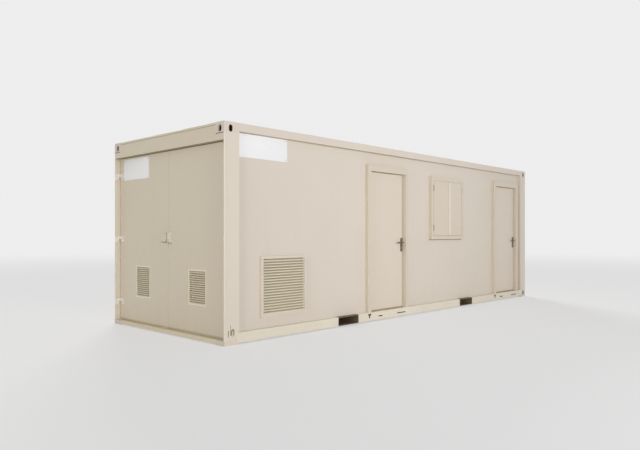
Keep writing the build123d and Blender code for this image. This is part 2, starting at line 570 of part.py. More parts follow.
vent = block(end_front, end_back, vent_w0, vent_w1, VENT_LOW, vent_z1)
vent -= block(end_front - CUT, end_back + CUT, vent_w0 + VENT_RIM, vent_w1 - VENT_RIM,
              VENT_LOW + VENT_RIM, vent_z1 - VENT_RIM)
pitch = (VENT_H - 2 * VENT_RIM) / VENT_BLADES
for number in range(VENT_BLADES):
    level = VENT_LOW + VENT_RIM + (number + 0.5) * pitch
    shape = blade(end_front + VENT_SET, level, VENT_DEEP, pitch - BLADE_COVER, BLADE_T, VENT_LIP)
    vent += across(shape, vent_w0 + VENT_RIM / 2, vent_w1 - VENT_RIM / 2)
keep("end_vent_right", vent)
keep("end_vent_left", back(vent))

moving = []
lowest, highest = END_LOW + END_HINGE_INSET, end_top - END_HINGE_INSET
radius, half = END_HINGE
for z in (lowest, (lowest + highest) / 2, highest):
    lug = knuckle(END_PIVOT_S, END_PIVOT_W, radius, z - half, z - HINGE_GAP, END_PIVOT_W - POST_PLATE, -90)
    lugs += [lug, back(lug)]
    arm = knuckle(END_PIVOT_S, END_PIVOT_W, radius, z + HINGE_GAP, z + half, end_front - END_PIVOT_S, 0)
    strap_edge = near_edge + STRAP_LENGTH
    moving.append(arm + block(end_front - STRAP_T, end_front, near_edge, strap_edge, z + HINGE_GAP, z + half))
keep("end_door_right_hinges", *moving)
keep("end_door_left_hinges", *[back(piece) for piece in moving])
keep("hinge_lugs", *lugs)


def lock_box(w0, width, deep, low, high):
    """A box on the face of the leaves, with its front edges rounded."""
    body = block(end_front - deep, end_front, w0, w0 + width, low, low + high)
    return soften(body, LOCK_ROUND, Axis.Z, lambda c: c.X < end_front - deep + CUT - LENGTH / 2)


keep("lock_case", lock_box(WIDTH / 2 - LOCK_OFF - LOCK_W, LOCK_W, LOCK_DEEP, LOCK_LOW, LOCK_H))
keep("lock_keeper", lock_box(WIDTH / 2 + KEEPER_OFF, KEEPER_W, KEEPER_DEEP, KEEPER_LOW, KEEPER_H))

# ---- write the solids ----
os.makedirs("parts", exist_ok=True)
for name, shape in NODES.items():
    export_step(shape, f"parts/{name}.step")
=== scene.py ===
"""Looks of a portable site cabin: a steel box with insulated walls, side doors, a shuttered window and vents.

Lengths are in metres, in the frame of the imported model: X runs along the cabin from the double doors to the
plain rear end, Y across it from the front, and Z up from the ground.
"""

import json
import logging
import math
from contextlib import contextmanager
from dataclasses import dataclass, field
from enum import Enum
from typing import Callable, Iterable, Iterator, Sequence

import bmesh
import bpy
from mathutils import Matrix, Quaternion, Vector


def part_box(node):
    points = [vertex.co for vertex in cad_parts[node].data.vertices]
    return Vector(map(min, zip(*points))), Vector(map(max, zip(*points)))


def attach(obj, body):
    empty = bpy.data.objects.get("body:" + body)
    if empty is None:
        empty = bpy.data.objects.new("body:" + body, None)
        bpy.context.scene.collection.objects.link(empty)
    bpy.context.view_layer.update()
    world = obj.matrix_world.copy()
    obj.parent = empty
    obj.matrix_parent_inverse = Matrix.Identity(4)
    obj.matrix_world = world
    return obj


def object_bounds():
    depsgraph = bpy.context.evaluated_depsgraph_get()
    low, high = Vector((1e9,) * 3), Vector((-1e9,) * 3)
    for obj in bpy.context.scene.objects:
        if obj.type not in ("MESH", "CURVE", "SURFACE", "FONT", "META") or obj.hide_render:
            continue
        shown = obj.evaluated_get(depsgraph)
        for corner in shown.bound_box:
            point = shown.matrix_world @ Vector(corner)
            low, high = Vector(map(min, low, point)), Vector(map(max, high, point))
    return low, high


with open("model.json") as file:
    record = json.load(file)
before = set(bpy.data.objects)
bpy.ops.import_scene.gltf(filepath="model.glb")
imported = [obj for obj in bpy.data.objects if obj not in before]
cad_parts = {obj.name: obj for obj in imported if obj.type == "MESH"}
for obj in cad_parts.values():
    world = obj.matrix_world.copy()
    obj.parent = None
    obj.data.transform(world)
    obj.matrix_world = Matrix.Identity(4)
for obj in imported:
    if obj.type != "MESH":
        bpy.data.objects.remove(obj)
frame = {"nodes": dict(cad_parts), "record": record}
CAD_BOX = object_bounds()

LOG = logging.getLogger("site_cabin")
Colour = tuple[float, float, float, float]
Numbers = Sequence[float]
Piece = bpy.types.Object
Material = bpy.types.Material
Socket = bpy.types.NodeSocket
FaceTest = Callable[[Vector, Vector], bool]

ACROSS_FRONT = Vector((0, -1, 0))      # out of the front wall
OUT_OF_END = Vector((-1, 0, 0))        # out of the double doors
UP = Vector((0, 0, 1))
LOW, HIGH = (Vector(corner) for corner in CAD_BOX)
HALF = HIGH.y                          # half the cabin's width
FAR = 9.0                              # beyond the cabin on any axis
ALIGNED = 0.99                         # the least cosine at which two directions count as one
SIDES = {"left": 1, "right": -1}       # which way each end leaf lies from the middle


def paint(red: int, green: int, blue: int) -> Colour:
    """Turn a display colour of 0 to 255 into the linear colour that a shader takes."""
    linear = [c / 255 / 12.92 if c <= 10 else ((c / 255 + 0.055) / 1.055) ** 2.4 for c in (red, green, blue)]
    return (*linear, 1.0)


# ---------------------------------------------------------------- modelling tools


def deselect() -> None:
    """Deselect every object."""
    bpy.ops.object.select_all(action="DESELECT")


def activate(piece: Piece) -> None:
    """Select one object alone and make it the active one.

    Args:
        piece: The object.
    """
    deselect()
    piece.select_set(True)
    bpy.context.view_layer.objects.active = piece


def corners(node: str) -> tuple[Vector, Vector]:
    """Give a CAD node's lowest and highest corner."""
    low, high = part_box(node)
    return Vector(low), Vector(high)


def settle(name: str) -> Piece:
    """Name the active object and put its place, turn and scale into its mesh.

    Args:
        name: The piece's name.

    Returns:
        The object, now at the origin.
    """
    piece = bpy.context.object
    piece.name = name
    piece.data.name = name
    bpy.ops.object.transform_apply(location=True, rotation=True, scale=True)
    return piece


def start_block(name: str, low: Numbers, high: Numbers) -> Piece:
    """Start a piece as a block between two opposite corners.

    Args:
        name: The piece's name.
        low: One corner.
        high: The corner across from it.

    Returns:
        The block, ready for shaping.
    """
    deselect()
    low, high = (Vector([end(pair) for pair in zip(low, high)]) for end in (min, max))
    bpy.ops.mesh.primitive_cube_add(size=1, location=(low + high) / 2, scale=high - low)
    return settle(name)


def start_round(name: str, base: Numbers, axis: Vector, radius: float, length: float,
                sides: int) -> Piece:
    """Start a piece as a round bar that stands on a point.

    Args:
        name: The piece's name.
        base: The middle of its foot.
        axis: The direction that it points in.
        radius: Its radius.
        length: How far it reaches from its foot.
        sides: How many sides it has.

    Returns:
        The bar, ready for shaping.
    """
    deselect()
    turn = axis.to_track_quat("Z", "Y").to_euler()
    middle = Vector(base) + axis.normalized() * length / 2
    bpy.ops.mesh.primitive_cylinder_add(vertices=sides, radius=radius, depth=length, location=middle,
                                        rotation=turn)
    return settle(name)


@contextmanager
def editing(piece: Piece) -> Iterator[None]:
    """Hold a piece in edit mode, with nothing selected at first.

    Args:
        piece: The piece to shape.
    """
    activate(piece)
    bpy.ops.object.mode_set(mode="EDIT")
    bpy.ops.mesh.select_all(action="DESELECT")
    yield
    bpy.ops.object.mode_set(mode="OBJECT")


def pick(kind: str, test: Callable[[bmesh.types.BMFace | bmesh.types.BMEdge], bool]) -> None:
    """Select the faces or edges of the piece in edit mode that pass a test.

    Args:
        kind: FACE or EDGE.
        test: Takes one face or edge.
    """
    mesh = bpy.context.edit_object.data
    bpy.ops.mesh.select_mode(type=kind)
    bpy.ops.mesh.select_all(action="DESELECT")
    shape = bmesh.from_edit_mesh(mesh)
    for part in shape.faces if kind == "FACE" else shape.edges:
        part.select_set(test(part))
    bmesh.update_edit_mesh(mesh)


def pick_faces(test: FaceTest) -> None:
    """Select the faces whose middle and normal pass a test."""
    pick("FACE", lambda face: test(face.calc_center_median(), face.normal))


def pick_edges(test: FaceTest) -> None:
    """Select the edges whose middle and direction pass a test."""
    pick("EDGE", lambda edge: test((edge.verts[0].co + edge.verts[1].co) / 2,
                                   (edge.verts[1].co - edge.verts[0].co).normalized()))


def facing(direction: Vector) -> FaceTest:
    """Make a test for faces that look in one direction."""
    return lambda middle, normal: normal.dot(direction) > ALIGNED


def running(direction: Vector) -> FaceTest:
    """Make a test for edges that run along one direction, or faces that look either way along it."""
    return lambda middle, along: abs(along.dot(direction)) > ALIGNED


def push(value: Vector) -> None:
    """Extrude the selected faces by a step."""
    bpy.ops.mesh.extrude_region_move(TRANSFORM_OT_translate={"value": tuple(value)})


def smooth(piece: Piece, angle: float) -> None:
    """Shade a piece smooth, except over edges sharper than an angle in degrees."""
    activate(piece)
    bpy.ops.object.shade_smooth_by_angle(angle=math.radians(angle))


def round_edges(piece: Piece, width: float, angle: float = 40.0) -> None:
    """Round a piece's sharp edges with a bevel that is applied at once.

    Args:
        piece: The piece to finish.
        width: The bevel's width.
        angle: The least angle in degrees that counts as an edge.
    """
    activate(piece)
    bevel = piece.modifiers.new("rounded", "BEVEL")
    bevel.width = width
    bevel.segments = 2
    bevel.limit_method = "ANGLE"
    bevel.angle_limit = math.radians(angle)
    bpy.ops.object.modifier_apply(modifier=bevel.name)
    smooth(piece, angle)


def round_off(piece: Piece, test: FaceTest, width: float, segments: int = 4) -> None:
    """Round those of a piece's edges that pass a test.

    Args:
        piece: The piece to shape.
        test: Takes an edge's middle and its direction.
        width: The rounding's width.
        segments: How many steps it has.
    """
    with editing(piece):
        pick_edges(test)
        bpy.ops.mesh.bevel(offset=width, segments=segments, affect="EDGES")


def hollow(piece: Piece, axis: Vector, rim: float) -> None:
    """Open a block or a round bar along an axis, which leaves a frame with a rim of one breadth.

    Args:
        piece: The piece, whose two ends are one face each.
        axis: The direction to look through.
        rim: The frame's breadth.
    """
    with editing(piece):
        pick_faces(running(axis))
        bpy.ops.mesh.inset(thickness=rim, use_individual=True)
        bpy.ops.mesh.delete(type="FACE")
        pick("EDGE", lambda edge: len(edge.link_faces) == 1)
        bpy.ops.mesh.bridge_edge_loops()
        bpy.ops.mesh.select_all(action="SELECT")
        bpy.ops.mesh.normals_make_consistent(inside=False)


def slice_at(plane: Vector, places: Iterable[float]) -> None:
    """Cut the whole piece in edit mode across a direction.

    Args:
        plane: The direction that the cuts are measured along.
        places: Where the cuts lie on it.
    """
    for place in places:
        bpy.ops.mesh.select_all(action="SELECT")
        bpy.ops.mesh.bisect(plane_co=tuple(plane * place), plane_no=tuple(plane))


def inset_face(piece: Piece, out: Vector, insets: Sequence[tuple[float, float]], step: float = 0.0) -> None:
    """Shape the face that looks out in one direction by insets, one inside another.

    Args:
        piece: The piece to shape.
        out: Where the face looks.
        insets: The breadth of each inset, and how far it rises.
        step: How far the innermost face then stands out, with an upright edge.
    """
    with editing(piece):
        pick_faces(facing(out))
        for breadth, rise in insets:
            bpy.ops.mesh.inset(thickness=breadth, depth=rise)
        if step:
            push(out * step)


def fold(piece: Piece, plane: Vector, cut: float, way: Vector, reach: float) -> None:
    """Turn a strip into an angle: the part of one side that lies before a cut is drawn out.

    Args:
        piece: The strip.
        plane: The direction that the cut is measured along.
        cut: Where the cut lies on that direction.
        way: The side that is drawn out, and where it goes.
        reach: How far it is drawn.
    """
    with editing(piece):
        slice_at(plane, [cut])
        pick_faces(lambda middle, normal: normal.dot(way) > ALIGNED and middle.dot(plane) < cut)
        push(way * reach)


def stand(at: Numbers, axis: Vector) -> Matrix:
    """Give the placing of a copy whose own Z points along an axis."""
    return Matrix.Translation(Vector(at)) @ axis.to_track_quat("Z", "Y").to_matrix().to_4x4()


def copies(name: str, pattern: Piece, places: Iterable[Matrix]) -> Piece:
    """Join copies of a pattern, each with its own mesh, into one piece and remove the pattern.

    Args:
        name: The piece's name.
        pattern: What repeats, made at the origin.
        places: Where each copy goes.

    Returns:
        The joined piece.
    """
    made = []
    for place in places:
        copy = pattern.copy()
        copy.data = pattern.data.copy()
        copy.data.transform(place)
        bpy.context.scene.collection.objects.link(copy)
        made.append(copy)
    bpy.data.objects.remove(pattern, do_unlink=True)
    return join(name, made)


def join(name: str, pieces: Sequence[Piece]) -> Piece:
    """Join pieces into one.

    Args:
        name: The joined piece's name.
        pieces: What is joined.

    Returns:
        The joined piece.
    """
    activate(pieces[0])
    for piece in pieces[1:]:
        piece.select_set(True)
    if len(pieces) > 1:
        bpy.ops.object.join()
    piece = bpy.context.view_layer.objects.active
    piece.name = name
    piece.data.name = name
    return piece


# ---------------------------------------------------------------- finishes


class Tree:
    """A node tree, built from small named steps."""

    def __init__(self, tree: bpy.types.NodeTree) -> None:
        """Take the tree to build in."""
        self.nodes, self.links = tree.nodes, tree.links

    def feed(self, socket: Socket, value: object) -> None:
        """Link a socket to another, or set its value.

        Args:
            socket: The socket to feed.
            value: A socket or a value.
        """
        if isinstance(value, Socket):
            self.links.new(value, socket)
        else:
            socket.default_value = value

    def add(self, kind: str, inputs: dict[str | int, object], **settings: object) -> bpy.types.Node:
        """Add a node.

        Args:
            kind: The node's type.
            inputs: What its sockets get, by name or number.
            **settings: Its own settings.

        Returns:
            The node.
        """
        node = self.nodes.new(kind)
        for name, value in settings.items():
            setattr(node, name, value)
        for name, value in inputs.items():
            self.feed(node.inputs[name], value)
        return node

    def fade(self, value: object, start: float, end: float, low: float = 0.0, high: float = 1.0) -> Socket:
        """Map a value smoothly, low at start and high at end.

        Args:
            value: What is mapped.
            start: Where the result is low.
            end: Where the result is high.
            low: The lowest result.
            high: The highest result.

        Returns:
            The mapped value.
        """
        inputs = {"Value": value, "From Min": start, "From Max": end, "To Min": low, "To Max": high}
        return self.add("ShaderNodeMapRange", inputs, interpolation_type="SMOOTHSTEP").outputs["Result"]

    def maths(self, operation: str, first: object, second: object = 0.0, third: float = 0.0) -> Socket:
        """Combine two or three values by a maths operation."""
        inputs = {0: first, 1: second, 2: third}
        return self.add("ShaderNodeMath", inputs, operation=operation).outputs["Value"]


class Recipe(Tree):
    """A material's tree round one shader, with its patterns on Object coordinates."""

    def __init__(self, name: str) -> None:
        """Start a material with its shader.

        Args:
            name: The material's name.
        """
        self.material = bpy.data.materials.new(name)
        self.material.use_nodes = True
        super().__init__(self.material.node_tree)
        self.shader = self.nodes["Principled BSDF"]
        self.place = self.add("ShaderNodeTexCoord", {}).outputs["Object"]
        self.relief = None

    def noise(self, scale: float, detail: float, stretch: Numbers = (1, 1, 1),
              roughness: float = 0.55) -> Socket:
        """Make a soft random pattern.

        Args:
            scale: How many waves there are in a metre.
            detail: How many finer layers it has.
            stretch: A factor for the scale on each axis.
            roughness: How strong the finer layers are.

        Returns:
            The pattern's value, near 0.5.
        """
        place = self.add("ShaderNodeMapping", {"Vector": self.place, "Scale": stretch}).outputs["Vector"]
        inputs = {"Vector": place, "Scale": scale, "Detail": detail, "Roughness": roughness}
        return self.add("ShaderNodeTexNoise", inputs).outputs["Fac"]

    def axis(self, letter: str) -> Socket:
        """Give one coordinate of the place on the piece."""
        return self.add("ShaderNodeSeparateXYZ", {"Vector": self.place}).outputs[letter]

    def blend(self, share: object, first: object, second: object) -> Socket:
        """Mix two colours, with a share of the second."""
        return self.add("ShaderNodeMix", {"Factor": share, 6: first, 7: second}, data_type="RGBA").outputs[2]

    def lay(self, patches: Sequence["Patch"], colour: object) -> object:
        """Lay patches over a colour.

        Args:
            patches: What is laid, in order.
            colour: The colour below, or its socket.

        Returns:
            The colour with its patches.
        """
        for patch in patches:
            colour = self.blend(patch.mask(self), colour, patch.colour)
        return colour

    def bump(self, height: Socket, distance: float, strength: float) -> None:
        """Add a relief on top of the ones before.

        Args:
            height: The relief's height, from 0 to 1.
            distance: What a height of 1 stands for, in metres.
            strength: How much of it counts.
        """
        inputs = {"Distance": distance, "Strength": strength, "Height": height}
        if self.relief is not None:
            inputs["Normal"] = self.relief
        self.relief = self.add("ShaderNodeBump", inputs).outputs["Normal"]

    def finish(self, colour: object, roughness: object, **constants: float) -> Material:
        """Feed the shader and give the material.

        Args:
            colour: The base colour or its socket.
            roughness: The roughness or its socket.
            **constants: Other shader inputs, with underscores for spaces.

        Returns:
            The finished material.
        """
        self.feed(self.shader.inputs["Base Color"], colour)
        self.feed(self.shader.inputs["Roughness"], roughness)
        for name, value in constants.items():
            self.shader.inputs[name.replace("_", " ")].default_value = value
        if self.relief is not None:
            self.links.new(self.relief, self.shader.inputs["Normal"])
        return self.material


@dataclass(frozen=True)
class Patch:
    """A box of places where a finish has another colour, alike on both long sides."""

    low: Numbers
    high: Numbers
    colour: Colour

    def mask(self, recipe: Recipe) -> Socket:
        """Give 1 inside the box and 0 outside.

        Args:
            recipe: The material's tree.

        Returns:
            The mask.
        """
        share = None
        for letter, low, high in zip("XYZ", self.low, self.high):
            place = recipe.axis(letter)
            if letter == "Y":
                place = recipe.maths("ABSOLUTE", place)
            within = recipe.maths("COMPARE", place, (low + high) / 2, (high - low) / 2)
            share = within if share is None else recipe.maths("MULTIPLY", share, within)
        return share


@dataclass(frozen=True)
class SlatShade(Patch):
    """Painted shade on each blade of a louvre, darker where the blade above shelters it."""

    pitch: float
    share: float
    start: float = 0.30                # of a pitch, from the blade's foot
    full: float = 0.62

    def mask(self, recipe: Recipe) -> Socket:
        """Give the painted shade's share, which repeats at each blade.

        Args:
            recipe: The material's tree.

        Returns:
            The mask.
        """
        level = recipe.maths("SUBTRACT", recipe.axis("Z"), self.low[2])
        phase = recipe.maths("FRACT", recipe.maths("DIVIDE", level, self.pitch))
        slat_shade_share = recipe.fade(phase, self.start, self.full, 0.0, self.share)
        return recipe.maths("MULTIPLY", super().mask(recipe), slat_shade_share)


@dataclass(frozen=True)
class SatinPaint:
    """Sprayed satin paint on sheet steel, with slight mottling, faint rain marks and dust near the ground."""

    name: str
    colour: Colour
    shade: Colour = paint(209, 198, 178)
    dust: Colour = paint(182, 168, 140)
    roughness: float = 0.42
    mottle: float = 0.16
    streaks: float = 0.05
    rain_stretch: Numbers = (9, 9, 0.3)
    dust_height: float = 0.5
    dust_share: float = 0.05
    waver: float = 0.12                # how far the dust's upper edge wanders
    grain: float = 420.0
    grain_depth: float = 0.00015
    waves: float = 1.6                 # of the sheet, in a metre
    wave_depth: float = 0.003
    patches: Sequence[Patch] = ()

    def build(self) -> Material:
        """Build the paint as a material.

        Returns:
            The material.
        """
        recipe = Recipe(self.name)
        clouds = recipe.fade(recipe.noise(0.8, 3), 0.35, 0.7, 0.0, self.mottle)
        colour = recipe.blend(clouds, self.colour, self.shade)
        rain = recipe.noise(1.0, 4, stretch=self.rain_stretch, roughness=0.6)
        colour = recipe.blend(recipe.fade(rain, 0.5, 0.8, 0.0, self.streaks), colour, self.dust)
        waver = recipe.fade(recipe.noise(5, 4), 0.2, 0.8, -self.waver, self.waver)
        splash = recipe.fade(recipe.maths("ADD", recipe.axis("Z"), waver), self.dust_height, 0.0, 0.0,
                             self.dust_share)
        colour = recipe.blend(splash, colour, self.dust)
        colour = recipe.lay(self.patches, colour)
        handled = recipe.fade(recipe.noise(7, 5), 0.3, 0.75, self.roughness - 0.05, self.roughness + 0.1)
        recipe.bump(recipe.noise(self.grain, 2), self.grain_depth, 0.4)
        recipe.bump(recipe.noise(self.waves, 1.5), self.wave_depth, 0.35)
        return recipe.finish(colour, handled, Coat_Weight=0.06, Coat_Roughness=0.25)


@dataclass(frozen=True)
class MouldedPlastic:
    """Moulded plastic or rubber with a fine grain."""

    name: str
    colour: Colour
    worn: Colour
    roughness: float = 0.45
    grain: float = 900.0
    depth: float = 0.0002
    patches: Sequence[Patch] = ()

    def build(self) -> Material:
        """Build the plastic as a material.

        Returns:
            The material.
        """
        recipe = Recipe(self.name)
        colour = recipe.blend(recipe.fade(recipe.noise(22, 5), 0.35, 0.75, 0.0, 0.45), self.colour, self.worn)
        colour = recipe.lay(self.patches, colour)
        recipe.bump(recipe.noise(self.grain, 2), self.depth, 0.6)
        shine = recipe.fade(recipe.noise(40, 4), 0.3, 0.7, self.roughness - 0.06, self.roughness + 0.1)
        return recipe.finish(colour, shine)


@dataclass(frozen=True)
class BareMetal:
    """Plated or bare metal, brushed one way or dull all over."""

    name: str
    colour: Colour
    dull: Colour
    roughness: float = 0.38
    brushed: Numbers = (1, 1, 1)
    metallic: float = 1.0

    def build(self) -> Material:
        """Build the metal as a material.

        Returns:
            The material.
        """
        recipe = Recipe(self.name)
        colour = recipe.blend(recipe.fade(recipe.noise(30, 5), 0.35, 0.7), self.colour, self.dull)
        recipe.bump(recipe.noise(260, 3, stretch=self.brushed), 0.0002, 0.5)
        shine = recipe.fade(recipe.noise(90, 4, stretch=self.brushed), 0.3, 0.7, self.roughness - 0.08,
                            self.roughness + 0.12)
        return recipe.finish(colour, shine, Metallic=self.metallic)


@dataclass(frozen=True)
class FloorBoard:
    """A sealed plywood deck with a speckled vinyl on top."""

    name: str
    vinyl: Colour
    speck: Colour
    ply: Colour
    ply_grain: Colour = paint(120, 88, 56)
    thick: float = 0.003               # of the vinyl

    def build(self) -> Material:
        """Build the floor as a material.

        Returns:
            The material.
        """
        recipe = Recipe(self.name)
        specks = recipe.fade(recipe.noise(240, 2), 0.56, 0.64)
        vinyl = recipe.blend(specks, self.vinyl, self.speck)
        scuffs = recipe.fade(recipe.noise(2.2, 6, stretch=(1, 2.5, 1)), 0.45, 0.75, 0.0, 0.3)
        vinyl = recipe.blend(scuffs, vinyl, self.speck)
        grain = recipe.fade(recipe.noise(9, 6, stretch=(0.4, 8, 8)), 0.3, 0.7)
        wood = recipe.blend(grain, self.ply, self.ply_grain)
        above = recipe.maths("GREATER_THAN", recipe.axis("Z"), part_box("floor_deck")[1][2] - self.thick)
        colour = recipe.blend(above, wood, vinyl)
        recipe.bump(recipe.noise(240, 2), 0.0002, 0.5)
        return recipe.finish(colour, recipe.fade(scuffs, 0.0, 0.3, 0.38, 0.6))


@dataclass(frozen=True)
class PanelBoard:
    """A pale laminated board with faint joints across the room."""

    name: str
    colour: Colour
    joint: Colour
    pitch: float = 1.22

    def build(self) -> Material:
        """Build the board as a material.

        Returns:
            The material.
        """
        recipe = Recipe(self.name)
        along = recipe.maths("PINGPONG", recipe.axis("X"), self.pitch / 2)
        line = recipe.fade(along, 0.0045, 0.0015)
        colour = recipe.blend(recipe.fade(recipe.noise(1.4, 5), 0.4, 0.75, 0.0, 0.2), self.colour, self.joint)
        colour = recipe.blend(line, colour, self.joint)
        recipe.bump(recipe.noise(600, 2), 0.0002, 0.5)
        recipe.bump(recipe.fade(along, 0.0, 0.006), 0.002, 1.0)
        return recipe.finish(colour, recipe.fade(recipe.noise(12, 3), 0.3, 0.7, 0.5, 0.62))


@dataclass(frozen=True)
class ClearGlass:
    """Float glass with a light film of dust."""

    name: str
    pale: Colour = paint(232, 240, 236)
    green: Colour = paint(222, 234, 230)
    index: float = 1.5

    def build(self) -> Material:
        """Build the glass as a material.

        Returns:
            The material.
        """
        recipe = Recipe(self.name)
        film = recipe.fade(recipe.noise(14, 5), 0.4, 0.8, 0.02, 0.1)
        tint = recipe.blend(recipe.fade(recipe.noise(3, 3), 0.3, 0.7), self.pale, self.green)
        recipe.bump(recipe.noise(3, 1), 0.0006, 0.3)
        return recipe.finish(tint, film, Transmission_Weight=1.0, IOR=self.index)


def level_of(node: str) -> tuple[float, float]:
    """Give the lowest and highest level of a CAD node."""
    low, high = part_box(node)
    return low[2], high[2]


def slats(node: str, rim: float, count: int, margin: float, share: float) -> SlatShade:
    """Give the painted shade on a louvre's blades.

    Args:
        node: The louvre's node, or its frame's.
        rim: The frame's breadth at its top and foot.
        count: How many blades it has.
        margin: The frame's breadth at its two ends across the cabin.
        share: How strong the painted shade is.

    Returns:
        The shade, within the louvre's rim.
    """
    low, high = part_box(node)
    pitch = (high[2] - low[2] - 2 * rim) / count
    across = sorted(abs(value) for value in (low[1], high[1]))
    return SlatShade((low[0], across[0] + margin, low[2] + rim),
                     (high[0], across[1] - margin, high[2] - rim), SLAT_PAINTED_SHADE, pitch, share)


CREAM = paint(220, 209, 196)
# A yellower copy of the cream for the double-door end: a painted shade tint.
END_SHADED_CREAM = paint(221, 210, 190)
# Painted shade: the dark colour laid deep inside the corner fittings' holes.
PAINTED_SHADE = paint(62, 54, 44)
# Painted shade between louvre blades.
SLAT_PAINTED_SHADE = paint(104, 92, 70)
# Dark lines: painted shade in the header's groove, a seam below the top fittings, and marks at the posts'
# feet.
GROOVE_SHADE_AND_MARKS = paint(138, 122, 96)
# Painted shade in the bottom rails' sockets.
SOCKET_SHADE = paint(98, 84, 62)
# Painted shade under the header.
UNDERSIDE_SHADE = paint(168, 154, 126)
SKIN = 0.003                           # what counts as the outer skin of a steel part
END_WALL, SIDE_WALL = 0.020, 0.006     # what counts as a fitting's outside at its end and on its side
SHUTTER_FOOT = 0.8                     # a level below the shutters, where their painted knuckle shade and cover strip tone may start
LOUVRE_RIM, LOUVRE_BLADES = 0.030, 20
VENT_RIM, VENT_BLADES = 0.014, 15
RAIL_TOP = level_of("bottom_side_rails")[1]
TOP_FITTING = level_of("top_corner_fittings")[0]
BOTTOM_FITTING = level_of("bottom_corner_fittings")[1]
LEAF_FOOT = level_of("end_door_left")[0]
HEAD_GAP = 0.006                       # from a double door's top to the header
HEADER_LOW = level_of("end_door_right")[1] + HEAD_GAP
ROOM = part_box("floor_deck")
KNUCKLE = 0.005                        # from a shutter's outer edge to its pivot
SHUTTER_PIVOTS = (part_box("shutter_left")[0][0] + KNUCKLE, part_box("shutter_right")[1][0] - KNUCKLE)
SHUTTER_JOINT = sum(SHUTTER_PIVOTS) / 2

LINING = (Patch((-FAR, 0, -FAR), (ROOM[1][0] + 0.006, ROOM[1][1] + 0.006, FAR), paint(228, 226, 218)),)
# Painted shade inside the top and foot fittings' holes, deeper than their walls.
CAVITY_SHADE = (Patch((LOW.x + END_WALL, 0, TOP_FITTING + SKIN),
                  (HIGH.x - END_WALL, HALF - SIDE_WALL, HIGH.z - SKIN), PAINTED_SHADE),)
FOOT_CAVITY_SHADE = (
    Patch((LOW.x + END_WALL, 0, SKIN), (0, HALF - SIDE_WALL, LEAF_FOOT - 0.010), PAINTED_SHADE),
    Patch((0, 0, SKIN), (HIGH.x - END_WALL, HALF - SIDE_WALL, BOTTOM_FITTING - SKIN), PAINTED_SHADE),
)
# Painted shade on every face of the bottom rails that is set back from their outer face, below their top.
RAIL_SOCKET_SHADE = (Patch((LOW.x, 0, 0), (HIGH.x, HALF - 0.0015, RAIL_TOP - SKIN), SOCKET_SHADE),)
HEADER_SHADE_AND_SEAM = (
    # Painted shade in the groove along the header's top.
    Patch((LOW.x + 0.0012, 0, HIGH.z - 0.0325), (LOW.x + 0.006, HALF, HIGH.z - 0.0265), GROOVE_SHADE_AND_MARKS),
    # Painted shade on the header's underside.
    Patch((LOW.x + 0.004, 0, HEADER_LOW - 0.001), (LOW.x + 0.2, HALF, HEADER_LOW + 0.0065), UNDERSIDE_SHADE),
    # A dark seam line on the end, just below each top fitting.
    Patch((LOW.x - SKIN, HALF - 0.15, TOP_FITTING - 0.012), (LOW.x + SKIN, HALF, TOP_FITTING - 0.001), GROOVE_SHADE_AND_MARKS),
)
FOOT_MARKS = (
    Patch((LOW.x + 0.052, HALF - SKIN, RAIL_TOP - 0.035),
          (LOW.x + 0.063, HALF + SKIN, RAIL_TOP + 0.036), GROOVE_SHADE_AND_MARKS),
    Patch((LOW.x + 0.083, HALF - SKIN, RAIL_TOP - 0.02),
          (LOW.x + 0.0895, HALF + SKIN, RAIL_TOP + 0.095), GROOVE_SHADE_AND_MARKS),
)
# Painted shade on the shutters' hinge knuckles: dark at the left pivot, lighter at the right.
KNUCKLE_SHADE = tuple(
    Patch((pivot - 0.0062, HALF - 0.0078, SHUTTER_FOOT), (pivot + 0.0062, HALF + SKIN, HIGH.z), tone)
    for pivot, tone in zip(SHUTTER_PIVOTS, (paint(126, 112, 90), paint(188, 176, 154)))
)
COVER_STRIP = (Patch((SHUTTER_JOINT + SKIN, HALF - 0.0076, SHUTTER_FOOT),
                     (SHUTTER_JOINT + 0.09, HALF + SKIN, HIGH.z), paint(225, 215, 201)),)
# Painted shade along the side doors' seal under the frame head; the rest of the seal is pale.
HEAD_SEAL_SHADE = (Patch((-FAR, 0, level_of("side_door_1")[1] - 0.010), (FAR, FAR, FAR),
                   paint(116, 104, 85)),)
# Painted shade on the blades of the side louvre and the end vents.
BLADE_PAINTED_SHADE = (slats("side_louvre_frame", LOUVRE_RIM, LOUVRE_BLADES, 0.0, 0.52),)
VENT_PAINTED_SHADE = (slats("end_vent_right", VENT_RIM, VENT_BLADES, VENT_RIM, 0.44),)


